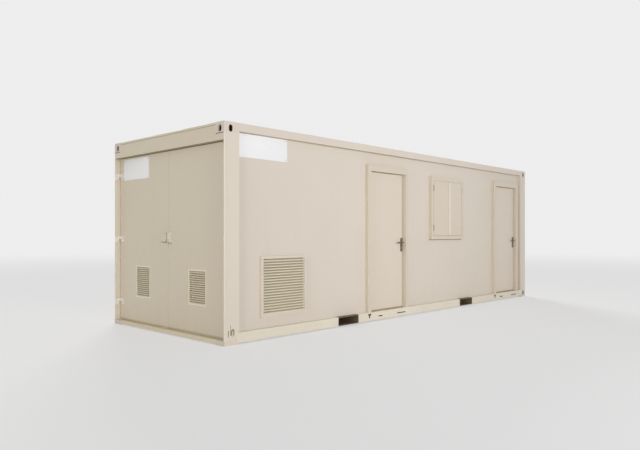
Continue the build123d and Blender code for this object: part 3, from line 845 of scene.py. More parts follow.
class Finish(Enum):
    """Every finish on the cabin."""

    FRAME = SatinPaint("frame_paint", CREAM)
    FITTING = SatinPaint("casting_paint_and_hole_shade", CREAM, patches=CAVITY_SHADE)
    FOOT_FITTING = SatinPaint("foot_casting_paint_and_hole_shade", CREAM, patches=FOOT_CAVITY_SHADE)
    LOW_RAIL = SatinPaint("low_rail_paint_and_socket_shade", paint(228, 220, 203), patches=RAIL_SOCKET_SHADE)
    # The header's cream is the end's yellower painted shade tint, with painted shade in its groove and on its
    # underside.
    HEADER = SatinPaint("header_paint_and_shade", paint(221, 210, 189), patches=HEADER_SHADE_AND_SEAM)
    SILL = SatinPaint("sill_paint", paint(229, 218, 193))
    # A darker, yellower copy of the wall cream on the door and window frames: painted shade for their shaded
    # side faces.
    CASING = SatinPaint("casing_paint_and_shade", paint(215, 204, 187))
    POST = SatinPaint("post_paint", paint(225, 215, 201), patches=FOOT_MARKS)
    WALL = SatinPaint("wall_paint", paint(219, 209, 197), patches=LINING)
    DOOR = SatinPaint("door_paint", paint(220, 208, 194))
    END_DOOR = SatinPaint("end_door_paint_and_shade", END_SHADED_CREAM)
    SHUTTER = SatinPaint("shutter_paint_and_knuckle_shade", paint(216, 204, 188), patches=KNUCKLE_SHADE + COVER_STRIP)
    LUG = SatinPaint("lug_paint_and_knuckle_shade", paint(234, 228, 216), patches=KNUCKLE_SHADE)
    # The louvre and vent paints are lighter than the cabin's cream: painted light that lifts the shade
    # between the blades.
    VENT = SatinPaint("vent_paint", paint(240, 230, 210), shade=paint(232, 221, 198), roughness=0.5)
    BLADE = SatinPaint("blade_paint_and_painted_light", paint(250, 240, 217), shade=paint(242, 230, 205), roughness=0.5,
                       patches=BLADE_PAINTED_SHADE)
    END_VENT = SatinPaint("end_vent_paint_and_painted_light", paint(248, 238, 215), shade=paint(240, 229, 205), roughness=0.5,
                          patches=VENT_PAINTED_SHADE)
    LOCK = SatinPaint("lock_paint", paint(226, 218, 204), roughness=0.36, dust_share=0.0)
    HINGE = SatinPaint("hinge_paint", paint(238, 232, 222), roughness=0.34, dust_share=0.05)
    UNDERFRAME = SatinPaint("underframe_primer", paint(62, 51, 43), shade=paint(92, 66, 46),
                            dust=paint(112, 90, 66), roughness=0.62, mottle=0.8, dust_share=0.35)
    # A lighter copy of the underframe primer: painted light inside the fork pockets.
    POCKET = SatinPaint("pocket_primer_painted_light", paint(104, 91, 73), shade=paint(120, 101, 76),
                        dust=paint(132, 115, 90), roughness=0.62, mottle=0.6, dust_share=0.35)
    HANDLE = MouldedPlastic("handle_nylon", paint(98, 86, 70), paint(118, 106, 88), 0.42)
    RUBBER = MouldedPlastic("seal_rubber", paint(116, 104, 85), paint(132, 120, 100), 0.62)
    DOOR_SEAL = MouldedPlastic("door_seal_rubber_and_head_shade", paint(214, 203, 182), paint(206, 194, 172), 0.62,
                               patches=HEAD_SEAL_SHADE)
    # Sweep rubber; the dark strips that stand for the shade under the lock, the keeper and the sill wear it
    # too.
    SWEEP = MouldedPlastic("sweep_rubber", paint(158, 141, 108), paint(172, 156, 124), 0.6)
    # A lighter copy of the sweep rubber: painted light to make up for the dimmer light on the end.
    END_SWEEP = MouldedPlastic("end_sweep_rubber_painted_light", paint(200, 186, 156), paint(188, 174, 144), 0.6)
    PALE_RUBBER = MouldedPlastic("pale_seal_rubber", paint(220, 210, 188), paint(212, 201, 178), 0.6)
    PLATE = MouldedPlastic("plate_white", paint(247, 247, 249), paint(243, 243, 242), 0.5, 60.0, 0.00005)
    SASH = MouldedPlastic("sash_white", paint(232, 231, 226), paint(222, 219, 210), 0.35)
    ZINC = BareMetal("zinc_plate", paint(188, 186, 178), paint(150, 147, 138), 0.4)
    # The mesh's tone is lifted so the shaded gaps between the louvre blades read lighter: painted light.
    MESH = BareMetal("bird_mesh_painted_light", paint(196, 182, 150), paint(172, 158, 128), 0.55, metallic=0.2)
    FLOOR = FloorBoard("vinyl_floor", paint(150, 144, 132), paint(118, 112, 102), paint(168, 132, 88))
    CEILING = PanelBoard("ceiling_board", paint(234, 233, 228), paint(206, 203, 194))
    GLASS = ClearGlass("float_glass")


class FinishStore:
    """Builds each finish once and hands it out."""

    def __init__(self) -> None:
        """Start with no finish built."""
        self.built: dict[Finish, Material] = {}

    def give(self, finish: Finish) -> Material:
        """Give a finish's material, built at its first use.

        Args:
            finish: The finish that is wanted.

        Returns:
            Its material.
        """
        if finish not in self.built:
            self.built[finish] = finish.value.build()
        return self.built[finish]


SLOT_FINISH = {
    "frame_paint": Finish.FRAME, "wall_paint": Finish.WALL, "door_paint": Finish.DOOR,
    "vent_paint": Finish.VENT, "handle_dark": Finish.HANDLE, "lock_metal": Finish.LOCK,
    "hinge_metal": Finish.HINGE, "underframe": Finish.UNDERFRAME, "deck_board": Finish.FLOOR,
    "ceiling_board": Finish.CEILING, "window_glass": Finish.GLASS,
}

NODE_FINISH = {
    "top_corner_fittings": Finish.FITTING, "bottom_corner_fittings": Finish.FOOT_FITTING,
    "bottom_side_rails": Finish.LOW_RAIL, "door_end_header": Finish.HEADER, "door_end_sill": Finish.SILL,
    "door_frame_1": Finish.CASING, "door_frame_2": Finish.CASING, "window_frame": Finish.CASING,
    "door_end_posts": Finish.POST, "end_door_left": Finish.END_DOOR, "end_door_right": Finish.END_DOOR,
    "side_louvre_blades": Finish.BLADE, "end_vent_left": Finish.END_VENT,
    "end_vent_right": Finish.END_VENT, "lock_keeper": Finish.END_DOOR, "shutter_left": Finish.SHUTTER,
    "shutter_right": Finish.SHUTTER, "hinge_lugs": Finish.LUG, "fork_pocket_tubes": Finish.POCKET,
}


# ---------------------------------------------------------------- sub-assemblies


@dataclass
class Assembly:
    """What every sub-assembly shares: the finishes, the way that a piece is dressed, and small fittings."""

    store: FinishStore

    def dress(self, piece: Piece, finish: Finish, body: str = "cabin") -> None:
        """Give a piece its finish and its body, and report it.

        Args:
            piece: The finished mesh.
            finish: What it is finished in.
            body: The CAD body that it moves with.
        """
        piece.data.materials.clear()
        piece.data.materials.append(self.store.give(finish))
        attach(piece, body)
        LOG.info("%s: %d faces, rides on %s", piece.name, len(piece.data.polygons), body)

    def complete(self, piece: Piece, rounding: float, finish: Finish, body: str = "cabin") -> None:
        """Round a piece's sharp edges and dress it."""
        round_edges(piece, rounding)
        self.dress(piece, finish, body)

    def build_frame(self, name: str, low: Numbers, high: Numbers, rim: float, rounding: float,
                    finish: Finish, body: str = "cabin", axis: Vector = ACROSS_FRONT) -> None:
        """Build an open frame between two corners, with its edges rounded.

        Args:
            name: The piece's name.
            low: One corner.
            high: The corner across from it.
            rim: The frame's breadth.
            rounding: How much its edges are rounded.
            finish: What it is finished in.
            body: The CAD body that it moves with.
            axis: The direction to look through.
        """
        piece = start_block(name, low, high)
        hollow(piece, axis, rim)
        self.complete(piece, rounding, finish, body)

    def screw(self, radius: float, height: float) -> Piece:
        """Model one domed screw head with a socket, at the origin.

        Args:
            radius: The head's radius.
            height: The head's height.

        Returns:
            The head, which points up.
        """
        head = start_round("screw_head", (0, 0, -height * 0.2), UP, radius, height * 0.8, 16)
        inset_face(head, UP, ((radius * 0.28, height * 0.4), (radius * 0.34, 0)), -height * 0.45)
        smooth(head, 35)
        return head

    def build_screws(self, name: str, radius: float, height: float, spots: Iterable[Numbers],
                     out: Vector, finish: Finish, body: str) -> None:
        """Build the screws of one fitting as one piece.

        Args:
            name: The piece's name.
            radius: A head's radius.
            height: A head's height.
            spots: Where the screws are.
            out: Where they point.
            finish: What they are finished in.
            body: The CAD body that they move with.
        """
        screws = copies(name, self.screw(radius, height), [stand(spot, out) for spot in spots])
        self.dress(screws, finish, body)

    def bolt(self, radius: float) -> Piece:
        """Model one hexagon bolt head on its washer, at the origin.

        Args:
            radius: The head's radius, to its corners.

        Returns:
            The bolt, which points up.
        """
        washer = start_round("washer", (0, 0, -0.0002), UP, radius * 1.2, 0.0014, 20)
        head = start_round("bolt_head", (0, 0, 0.001), UP, radius, radius * 0.75, 6)
        inset_face(head, UP, ((radius * 0.14, radius * 0.08),))
        piece = join("bolt", [washer, head])
        smooth(piece, 30)
        return piece

    def lever(self, name: str, foot: Numbers, out: Vector, way: Vector, reach: float) -> Piece:
        """Model a handle with a round neck and a blade that runs off to one side.

        Args:
            name: The handle's name.
            foot: The middle of the neck's foot.
            out: Where the neck points.
            way: Where the blade runs.
            reach: The blade's length.

        Returns:
            The handle.
        """
        radius, length, base, half, thick = 0.0075, 0.034, 0.023, 0.009, 0.011
        neck = start_round(name, foot, out, radius, length, 24)
        start, side = Vector(foot) + out * base, out.cross(way)
        blade = start_block("blade", start - (way + side) * half,
                            start + way * reach + side * half + out * thick)
        round_off(blade, running(out), half - 0.0002, 6)
        round_edges(blade, 0.002)
        return join(name, [neck, blade])

    def build_key_cylinder(self, name: str, at: Numbers, out: Vector, body: str) -> None:
        """Build a key cylinder: a round face with a keyway, over its tail.

        Args:
            name: The cylinder's name.
            at: The middle of its face, on the plate.
            out: Where it points.
            body: The body that it moves with.
        """
        radius, drop, half, root = 0.0085, 0.021, 0.005, 0.0004
        base, side = Vector(at) - out * root, out.cross(UP)
        plug = start_round(name, base, out, radius, 0.0034, 32)
        inset_face(plug, out, ((0.0012, -0.0004), (0.0026, 0)), 0.0004)
        tail = start_block("tail", base - side * half - UP * drop, Vector(at) + out * 0.0026 + side * half)
        ends = running(out)
        round_off(tail, lambda middle, along: ends(middle, along) and middle.z < at[2] - drop / 2,
                  half - 0.0002, 5)
        self.complete(join(name, [plug, tail]), 0.0002, Finish.ZINC, body)


@dataclass
class SteelBody(Assembly):
    """The CAD nodes of the cabin, each dressed in the finish of its slot."""

    def build(self) -> None:
        """Dress every node."""
        for row in frame["record"]["subparts"]:
            node = frame["nodes"][row["node"]]
            finish = NODE_FINISH.get(row["node"], SLOT_FINISH[row["material_slot"]])
            material = self.store.give(finish)
            for slot in node.material_slots:
                slot.material = material
            LOG.info("%s is dressed in %s", row["node"], finish.value.name)


@dataclass
class EndDoors(Assembly):
    """What a fitter adds to the double doors: seals, hinge leaves, bolts, and the rods that lock them."""

    lip_back: float = 0.0006           # seals behind the leaf's face
    seal_deep: float = 0.032
    seal_gap: float = 0.0003           # half the gap left between the two seals
    seal_clear: float = 0.002          # at the seals' tops and feet
    edge_clear: float = 0.004
    sweep_thick: float = 0.003
    sweep_drop: float = 0.004
    sweep_lap: float = 0.014
    frame_seal: Numbers = (0.060, 0.018, 0.042, 0.0495)  # inset, breadth, front and back
    hinge_inset: float = 0.24          # from a leaf's top or foot to its outer hinge
    hinge_half: float = 0.038
    hinge_depth: Numbers = (0.002, 0.066)  # a hinge leaf's start and end behind the cabin's end
    hinge_plate: float = 0.003
    hinge_corner: float = 0.007
    post_plate: float = 0.012
    strap: float = 0.090
    strap_thick: float = 0.006
    foot_thick: float = 0.005          # the strap's lower half
    foot_corner: float = 0.010
    bolt_rows: Numbers = (0.060, 0.078)
    bolt_rise: float = 0.019
    bolt_radius: float = 0.0055
    rod_radius: float = 0.007
    rod_inset: float = 0.045
    rod_stand: float = 0.011
    rod_foot: float = 0.166
    rod_head: float = 0.04
    guide_levels: Numbers = (0.24, 0.72, 1.62, 2.10)
    guide_size: Numbers = (0.0035, 0.026, 0.011)  # thickness, half breadth, half height
    guide_bridge: Numbers = (0.011, 0.017)  # half breadth, rise
    case_size: Numbers = (0.026, 0.062, 0.150)
    handle_reach: float = 0.11
    lock_inset: float = 0.010
    cylinder_rise: float = 0.035
    shade_strip: Numbers = (0.004, 0.002, 0.011)  # inset in front, at its ends, and drop of the dark strip under the lock and keeper that stands for their shade

    def __post_init__(self) -> None:
        """Read the right leaf's place; the left one is its mirror image."""
        low, high = corners("end_door_right")
        self.face, self.back = low.x, high.x
        self.edge, self.meeting = -low.y, -high.y
        self.foot, self.top = low.z, high.z
        self.middle = (low.z + high.z) / 2
        self.levels = (self.foot + self.hinge_inset, self.middle, self.top - self.hinge_inset)

    def build(self) -> None:
        """Build both leaves' pieces and what the posts carry for them."""
        for side in SIDES:
            self.build_meeting_seal(side)
            self.build_sweep(side)
            self.build_hinge_leaves(side)
            self.build_bolts(side)
        self.build_frame_seal()
        self.build_rods()
        self.build_escape_handle()
        self.build_lock_details()

    def strip(self, name: str, side: str, depth: Numbers, reach: Numbers, level: Numbers) -> Piece:
        """Start a strip on one leaf.

        Args:
            name: The strip's name.
            side: The leaf's side.
            depth: Where it starts and ends along the cabin.
            reach: Its two distances from the middle line.
            level: Its lowest and highest level.

        Returns:
            The strip.
        """
        first, last = ((x, SIDES[side] * y, z) for x, y, z in zip(depth, reach, level))
        return start_block(name, first, last)

    def build_meeting_seal(self, side: str) -> None:
        """Build the soft seal on a leaf's meeting edge.

        Args:
            side: The leaf's side.
        """
        front = self.face + self.lip_back
        seal = self.strip(f"meeting_seal_{side}", side, (front, front + self.seal_deep),
                          (self.seal_gap, self.meeting),
                          (self.foot + self.seal_clear, self.top - self.seal_clear))
        self.complete(seal, 0.0015, Finish.PALE_RUBBER, f"end_door_{side}")

    def build_sweep(self, side: str) -> None:
        """Build the rubber sweep under a leaf, an angle that laps up its face.

        Args:
            side: The leaf's side.
        """
        sweep = self.strip(f"end_sweep_{side}", side, (self.face - self.sweep_thick, self.face),
                           (self.meeting + self.edge_clear, self.edge - self.edge_clear),
                           (self.foot - self.sweep_drop, self.foot + self.sweep_lap))
        fold(sweep, UP, self.foot - 0.0005, -OUT_OF_END, self.back - self.face - self.edge_clear)
        self.complete(sweep, 0.0008, Finish.END_SWEEP, f"end_door_{side}")

    def build_frame_seal(self) -> None:
        """Build the compression seal that the leaves close on."""
        inset, breadth, front, back = self.frame_seal
        self.build_frame("end_frame_seal", (self.face + front, LOW.y + inset, self.foot + self.edge_clear),
                         (self.face + back, HIGH.y - inset, self.top - self.edge_clear), breadth, 0.002,
                         Finish.PALE_RUBBER, axis=OUT_OF_END)

    def build_hinge_leaves(self, side: str) -> None:
        """Build the hinge leaves: one on the post beside each lug, and the lower half of each strap.

        Args:
            side: The leaf's side.
        """
        inner, half = HALF - self.post_plate, self.hinge_half
        depth = [LOW.x + back for back in self.hinge_depth]
        plates, feet = [], []
        for level in self.levels:
            plate = self.strip("plate", side, depth, (inner - self.hinge_plate, inner),
                               (level - half - 0.002, level + half + 0.002))
            round_off(plate, running(ACROSS_FRONT), self.hinge_corner)
            plates.append(plate)
            foot = self.strip("foot", side, (self.face - self.foot_thick, self.face),
                              (self.edge - self.strap, self.edge - 0.001), (level - half, level - 0.001))
            round_off(foot, lambda middle, along: abs(along.x) > ALIGNED and middle.z < level - half / 2
                      and abs(middle.y) < self.edge - self.strap / 2, self.foot_corner)
            feet.append(foot)
        self.complete(join(f"hinge_leaves_{side}", plates), 0.0008, Finish.HINGE)
        self.complete(join(f"strap_feet_{side}", feet), 0.0008, Finish.HINGE, f"end_door_{side}")

    def build_bolts(self, side: str) -> None:
        """Build the four bolts of each strap.

        Args:
            side: The leaf's side.
        """
        halves = ((self.strap_thick, self.bolt_rise), (self.foot_thick, -self.bolt_rise))
        places = [stand((self.face - thick, SIDES[side] * (self.edge - row), level + rise), OUT_OF_END)
                  for level in self.levels for row in self.bolt_rows for thick, rise in halves]
        bolts = copies(f"strap_bolts_{side}", self.bolt(self.bolt_radius), places)
        self.dress(bolts, Finish.HINGE, f"end_door_{side}")

    def build_rods(self) -> None:
        """Build the two rods inside the right leaf, with their guides."""
        x, y = self.back + self.rod_stand, -self.rod_inset
        half_case = self.case_size[2] / 2
        thick, half_wide, half_tall = self.guide_size
        half_bridge, rise = self.guide_bridge
        parts = []
        for start, end in ((self.rod_foot, self.middle - half_case),
                           (self.middle + half_case, self.top - self.rod_head)):
            rod = start_round("rod", (x, y, start), UP, self.rod_radius, end - start, 16)
            round_edges(rod, 0.002)
            parts.append(rod)
        for level in self.guide_levels:
            guide = start_block("guide", (self.back, y - half_wide, level - half_tall),
                                (self.back + thick, y + half_wide, level + half_tall))
            round_off(guide, running(OUT_OF_END), 0.004, 3)
            with editing(guide):
                slice_at(-ACROSS_FRONT, (y - half_bridge, y + half_bridge))
                pick_faces(lambda middle, normal: normal.x > ALIGNED and abs(middle.y - y) < half_bridge)
                push(-OUT_OF_END * rise)
            parts.append(guide)
        self.dress(join("escape_rods", parts), Finish.ZINC, "end_door_right")

    def build_escape_handle(self) -> None:
        """Build the gear case between the rods, and its turning handle inside."""
        deep, wide, tall = self.case_size
        y, face_rise = -self.rod_inset, 0.002
        case = start_block("escape_case", (self.back, y - wide / 2, self.middle - tall / 2),
                           (self.back + deep, y + wide / 2, self.middle + tall / 2))
        round_off(case, running(OUT_OF_END), 0.008)
        inset_face(case, -OUT_OF_END, ((0.004, face_rise),))
        self.complete(case, 0.0008, Finish.LOCK, "end_door_right")
        handle = self.lever("escape_handle", (self.back + deep + face_rise, y, self.middle), -OUT_OF_END,
                            ACROSS_FRONT, self.handle_reach)
        self.dress(handle, Finish.HANDLE, "end_door_right")

    def build_lock_details(self) -> None:
        """Build the screws of the lock and its keeper, the dark strip under each that stands for its shade,
        and the lock's key cylinder.
        """
        inset, (front, ends, drop) = self.lock_inset, self.shade_strip
        for node, body in (("lock_case", "end_door_right"), ("lock_keeper", "end_door_left")):
            low, high = corners(node)
            spots = [(low.x, y, z) for y in (low.y + inset, high.y - inset)
                     for z in (low.z + inset, high.z - inset)]
            self.build_screws(f"{node}_screws", 0.0035, 0.0016, spots, OUT_OF_END, Finish.ZINC, body)
            # A dark strip under the fitting: painted shade.
            shade_strip = start_block(f"{node}_drip", (low.x + front, low.y + ends, low.z - drop),
                               (self.face, high.y - ends, low.z - 0.0003))
            round_off(shade_strip, lambda middle, along: abs(along.y) > ALIGNED and middle.x < low.x + 2 * front
                      and middle.z < low.z - drop / 2, 0.008)
            self.complete(shade_strip, 0.0006, Finish.SWEEP, body)
            if node == "lock_case":
                at = (low.x, (low.y + high.y) / 2, low.z + self.cylinder_rise)
                self.build_key_cylinder(f"{node}_cylinder", at, OUT_OF_END, body)


@dataclass
class SideDoor(Assembly):
    """What a fitter adds to one side door: seals, sweep, folded edge, handle fittings and tread."""

    number: int = 1
    post_gap: float = 0.006            # from the leaf's hinge edge to the jamb
    seal_breadth: float = 0.012
    edging: float = 0.010
    edging_proud: float = 0.0012
    edging_inset: float = 0.0015
    sweep_thick: float = 0.003
    sweep_drop: float = 0.0045
    sweep_lap: float = 0.012
    sweep_reach: float = 0.034
    screw_inset: float = 0.018
    inner_plate: Numbers = (0.030, 0.008, 0.200)
    inner_shift: float = 0.005         # from the spindle to the inner plate's middle
    collar: Numbers = (0.0135, 0.0052, 0.006)  # radius, rim and length
    lever_reach: float = 0.120
    cylinder_drop: float = 0.070
    tread_ends: float = 0.02
    tread_deep: float = 0.012
    groove: float = 0.002
    ridge: float = 0.0012

    def __post_init__(self) -> None:
        """Read the leaf's, frame's and plate's places."""
        self.leaf_low, self.leaf_high = corners(f"side_door_{self.number}")
        self.plate_low, self.plate_high = corners(f"handle_plate_{self.number}")
        self.lever_level = sum(level_of(f"lever_{self.number}")) / 2
        self.spindle = (self.plate_low.x + self.plate_high.x) / 2
        self.body = f"side_door_{self.number}"

    def build(self) -> None:
        """Build all of the door's pieces."""
        self.build_seal()
        self.build_edging()
        self.build_sweep()
        self.build_handle_fittings()
        self.build_inner_handle()
        self.build_tread()

    def build_seal(self) -> None:
        """Build the rubber seal on the stop behind the leaf."""
        low, high = self.leaf_low, self.leaf_high
        self.build_frame(f"door_seal_{self.number}", (low.x - 0.003, high.y + 0.0012, low.z + 0.001),
                         (high.x + 0.005, high.y + self.post_gap, high.z + 0.003),
                         self.seal_breadth, 0.0014, Finish.DOOR_SEAL)

    def build_edging(self) -> None:
        """Build the folded edge that stands proud round the leaf's face."""
        low, high, inset = self.leaf_low, self.leaf_high, self.edging_inset
        self.build_frame(f"door_edging_{self.number}",
                         (low.x + inset, low.y - self.edging_proud, low.z + inset),
                         (high.x - inset, low.y + 0.0002, high.z - inset), self.edging, 0.0004,
                         Finish.DOOR, self.body)

    def build_sweep(self) -> None:
        """Build the rubber sweep under the leaf, an angle that laps up its face."""
        low, high = self.leaf_low, self.leaf_high
        sweep = start_block(f"door_sweep_{self.number}",
                            (low.x + 0.002, low.y - self.sweep_thick, low.z - self.sweep_drop),
                            (high.x - 0.002, low.y, low.z + self.sweep_lap))
        fold(sweep, UP, low.z - 0.0005, -ACROSS_FRONT, self.sweep_reach)
        self.complete(sweep, 0.0008, Finish.SWEEP, self.body)

    def build_handle_fittings(self) -> None:
        """Build the outer plate's screws, the collar round the lever's neck and the key cylinder."""
        x, y = self.spindle, self.plate_low.y
        spots = [(x, y, level) for level in (self.plate_low.z + self.screw_inset,
                                             self.plate_high.z - self.screw_inset)]
        self.build_screws(f"plate_screws_{self.number}", 0.0042, 0.0018, spots, ACROSS_FRONT, Finish.ZINC,
                          self.body)
        radius, rim, length = self.collar
        ring = start_round(f"lever_collar_{self.number}", (x, y, self.lever_level), ACROSS_FRONT, radius,
                           length, 32)
        hollow(ring, ACROSS_FRONT, rim)
        round_edges(ring, rim * 0.2, angle=50)
        self.dress(ring, Finish.HANDLE, self.body)
        self.build_key_cylinder(f"door_cylinder_{self.number}", (x, y, self.lever_level - self.cylinder_drop),
                                ACROSS_FRONT, self.body)

    def build_inner_handle(self) -> None:
        """Build the plate and lever on the leaf's room side."""
        wide, thick, tall = self.inner_plate
        back, foot, centre = self.leaf_high.y, self.plate_low.z, self.spindle - self.inner_shift
        plate = start_block(f"inner_plate_{self.number}", (centre - wide / 2, back, foot),
                            (centre + wide / 2, back + thick, foot + tall))
        round_off(plate, running(ACROSS_FRONT), 0.008, 5)
        inset_face(plate, -ACROSS_FRONT, ((0.003, 0.0015),))
        self.complete(plate, 0.0006, Finish.HANDLE, self.body)
        lever = self.lever(f"inner_lever_{self.number}",
                           (self.spindle, back + thick + 0.0018, self.lever_level), -ACROSS_FRONT,
                           OUT_OF_END, self.lever_reach)
        self.dress(lever, Finish.HANDLE, f"lever_{self.number}")

    def build_tread(self) -> None:
        """Build the grooved tread on the threshold."""
        top, back = ROOM[1][2], corners(f"door_frame_{self.number}")[1].y - 0.001
        front = back - self.tread_deep
        tread = start_block(f"door_tread_{self.number}",
                            (self.leaf_low.x + self.tread_ends, front, top - 0.0002),
                            (self.leaf_high.x - self.tread_ends, back, top + 0.002))
        with editing(tread):
            slice_at(-ACROSS_FRONT, [front + self.groove * number for number in range(1, 6)])
            pick_faces(lambda middle, normal: normal.z > ALIGNED
                       and int((middle.y - front) / self.groove) % 2 == 1)
            push(UP * self.ridge)
        self.complete(tread, 0.0003, Finish.ZINC)


@dataclass
class Grille(Assembly):
    """The insect mesh behind a louvre's blades, and the screws round its rim."""

    node: str = "side_louvre_frame"
    body: str = "cabin"
    out: Vector = field(default_factory=lambda: ACROSS_FRONT.copy())
    rim: float = LOUVRE_RIM
    mesh_back: float = 0.003           # from the piece's back to the mesh
    mesh_clear: float = 0.0005
    mesh_thick: float = 0.0015
    screw_radius: float = 0.005
    screws: int = 4                    # in each of the rim's four rows

    def __post_init__(self) -> None:
        """Read the louvre's place, and number the axes through it and across it."""
        self.low, self.high = corners(self.node)
        self.deep = 1 if abs(self.out.y) > 0.5 else 0
        self.wide = 1 - self.deep

    def build(self) -> None:
        """Build the mesh and the screws."""
        self.build_mesh()
        self.build_rim_screws()

    def build_mesh(self) -> None:
        """Build a pressed sheet with a raised rim behind the blades."""
        low, high = self.low.copy(), self.high.copy()
        for axis in (self.wide, 2):
            low[axis] += self.rim + self.mesh_clear
            high[axis] -= self.rim + self.mesh_clear
        high[self.deep] -= self.mesh_back
        low[self.deep] = high[self.deep] - self.mesh_thick
        sheet = start_block(f"{self.node}_mesh", low, high)
        inset_face(sheet, self.out, ((0.010, 0),), -0.001)
        self.complete(sheet, 0.0003, Finish.MESH, self.body)

    def build_rim_screws(self) -> None:
        """Set screws round the rim."""
        inset, last = self.rim / 2, self.screws - 1
        spots = []
        for across in range(self.screws):
            for up in range(self.screws):
                if across in (0, last) or up in (0, last):
                    spot = self.low.copy()
                    for axis, share in ((self.wide, across / last), (2, up / last)):
                        room = self.high[axis] - self.low[axis] - 2 * inset
                        spot[axis] = round(self.low[axis] + inset + share * room, 5)
                    spots.append(spot)
        self.build_screws(f"{self.node}_screws", self.screw_radius, self.screw_radius * 0.45, spots, self.out,
                          Finish.VENT, self.body)


@dataclass
class Window(Assembly):
    """The sash round the pane, its gasket and handle, and the seals round and between the shutters."""

    sash_breadth: float = 0.048
    sash_gap: float = 0.0005           # between the pane and each half
    gasket: float = 0.006
    gasket_set: float = 0.003          # behind the sash's face
    outer_depth: float = 0.008
    inner_depth: float = 0.020
    handle_base: Numbers = (0.014, 0.004, 0.034)  # half breadth, thickness, half height
    handle_reach: float = 0.105
    shutter_back: float = 0.008        # from the cabin's side to the shutters' faces
    shutter_gap: float = 0.008
    pivot_inset: float = 0.003         # from the reveal to a shutter's hinge pin
    running_gap: float = 0.006
    reveal_front: float = 0.015
    reveal_back: float = 0.038
    reveal_breadth: float = 0.0045
    seal_clear: float = 0.0003
    shade_strip_drop: float = 0.012
    shade_strip_deep: float = 0.009

    def __post_init__(self) -> None:
        """Read the pane's place."""
        self.low, self.high = corners("window_glass")

    def build(self) -> None:
        """Build the window's pieces."""
        self.build_sash()
        self.build_handle()
        self.build_shutter_seal()
        self.build_reveal_seal()
        self.build_sill_shade_strip()

    def build_sash(self) -> None:
        """Build the sash's two halves and the dark gasket between each and the pane."""
        low, high, gap, step = self.low, self.high, self.sash_gap, self.gasket_set
        inset = self.sash_breadth + 0.0002
        for half, front, back, near, far in (
                ("outer", low.y - self.outer_depth - gap, low.y - gap, step, 0),
                ("inner", high.y + gap, high.y + self.inner_depth, 0, step)):
            self.build_frame(f"sash_{half}", (low.x + gap, front, low.z + gap),
                             (high.x - gap, back, high.z - gap), self.sash_breadth, 0.002, Finish.SASH)
            self.build_frame(f"sash_gasket_{half}", (low.x + inset, front + near, low.z + inset),
                             (high.x - inset, back - far, high.z - inset), self.gasket, 0.001, Finish.RUBBER)

    def build_handle(self) -> None:
        """Build the sash's turning handle on the room side."""
        x, y = self.high.x - self.sash_breadth / 2, self.high.y + self.inner_depth
        level = (self.low.z + self.high.z) / 2
        wide, thick, tall = self.handle_base
        base = start_block("sash_handle_base", (x - wide, y, level - tall),
                           (x + wide, y + thick, level + tall))
        round_off(base, running(ACROSS_FRONT), 0.012, 6)
        self.complete(base, 0.0008, Finish.SASH)
        grip = self.lever("sash_handle", (x, y + 0.003, level), -ACROSS_FRONT, -UP, self.handle_reach)
        self.dress(grip, Finish.SASH)

    def build_shutter_seal(self) -> None:
        """Build the pale seal on the right shutter's meeting edge."""
        foot, head = level_of("shutter_right")
        half, face = self.shutter_gap / 2, LOW.y + self.shutter_back
        seal = start_block("shutter_seal", (SHUTTER_JOINT - half + 0.0015, face + 0.002, foot + 0.004),
                           (SHUTTER_JOINT + half, face + 0.020, head - 0.004))
        self.complete(seal, 0.0012, Finish.PALE_RUBBER, "shutter_right")

    def build_reveal_seal(self) -> None:
        """Build the pale seal in the running gap all round the shutters."""
        foot, head = level_of("shutter_left")
        left, right = SHUTTER_PIVOTS
        across, up = self.pivot_inset - self.seal_clear, self.running_gap - self.seal_clear
        self.build_frame("reveal_seal", (left - across, LOW.y + self.reveal_front, foot - up),
                         (right + across, LOW.y + self.reveal_back, head + up),
                         self.reveal_breadth, 0.001, Finish.PALE_RUBBER)

    def build_sill_shade_strip(self) -> None:
        """Build the dark strip under the sill, against the wall, that stands for the shade below the sill."""
        low, high = corners("window_frame")
        wall = corners("front_wall_middle")[0].y
        strip = start_block("sill_shade_strip", (low.x + 0.006, wall - self.shade_strip_deep, low.z - self.shade_strip_drop),
                            (high.x - 0.006, wall, low.z - 0.0004))
        round_off(strip, lambda middle, along: abs(along.x) > ALIGNED
                  and middle.y < wall - self.shade_strip_deep / 2
                  and middle.z < low.z - self.shade_strip_drop / 2, 0.006, 3)
        self.complete(strip, 0.0006, Finish.SWEEP)


@dataclass
class FootInsert(Assembly):
    """The closing disc inside the oval hole at each door-end post's foot."""

    centre: float = 0.115              # from the double doors' end
    rise: float = 0.008                # above the bottom rail's top
    breadth: float = 0.049
    height: float = 0.0775
    front: float = 0.0085              # behind the cabin's side
    thick: float = 0.0032
    rib: float = 0.016
    rib_front: float = 0.001
    rib_shares: Numbers = (0.46, 0.22)  # of the disc's height, below and above its middle

    def build(self) -> None:
        """Build a disc with an upright rib at both posts."""
        x, z = LOW.x + self.centre, RAIL_TOP + self.rise
        half_wide, half_tall, half_rib = self.breadth / 2, self.height / 2, self.rib / 2
        below, above = (self.height * share for share in self.rib_shares)
        for name, sign in (("front", -1), ("back", 1)):
            rib_face, front, back = (sign * (HALF - depth)
                                     for depth in (self.rib_front, self.front, self.front + self.thick))
            disc = start_block(f"foot_disc_{name}", (x - half_wide, front, z - half_tall),
                               (x + half_wide, back, z + half_tall))
            round_off(disc, running(ACROSS_FRONT), self.breadth * 0.49, 8)
            self.complete(disc, 0.0006, Finish.SWEEP)
            self.complete(start_block(f"foot_rib_{name}", (x - half_rib, rib_face, z - below),
                                      (x + half_rib, front, z + above)), 0.001, Finish.FRAME)


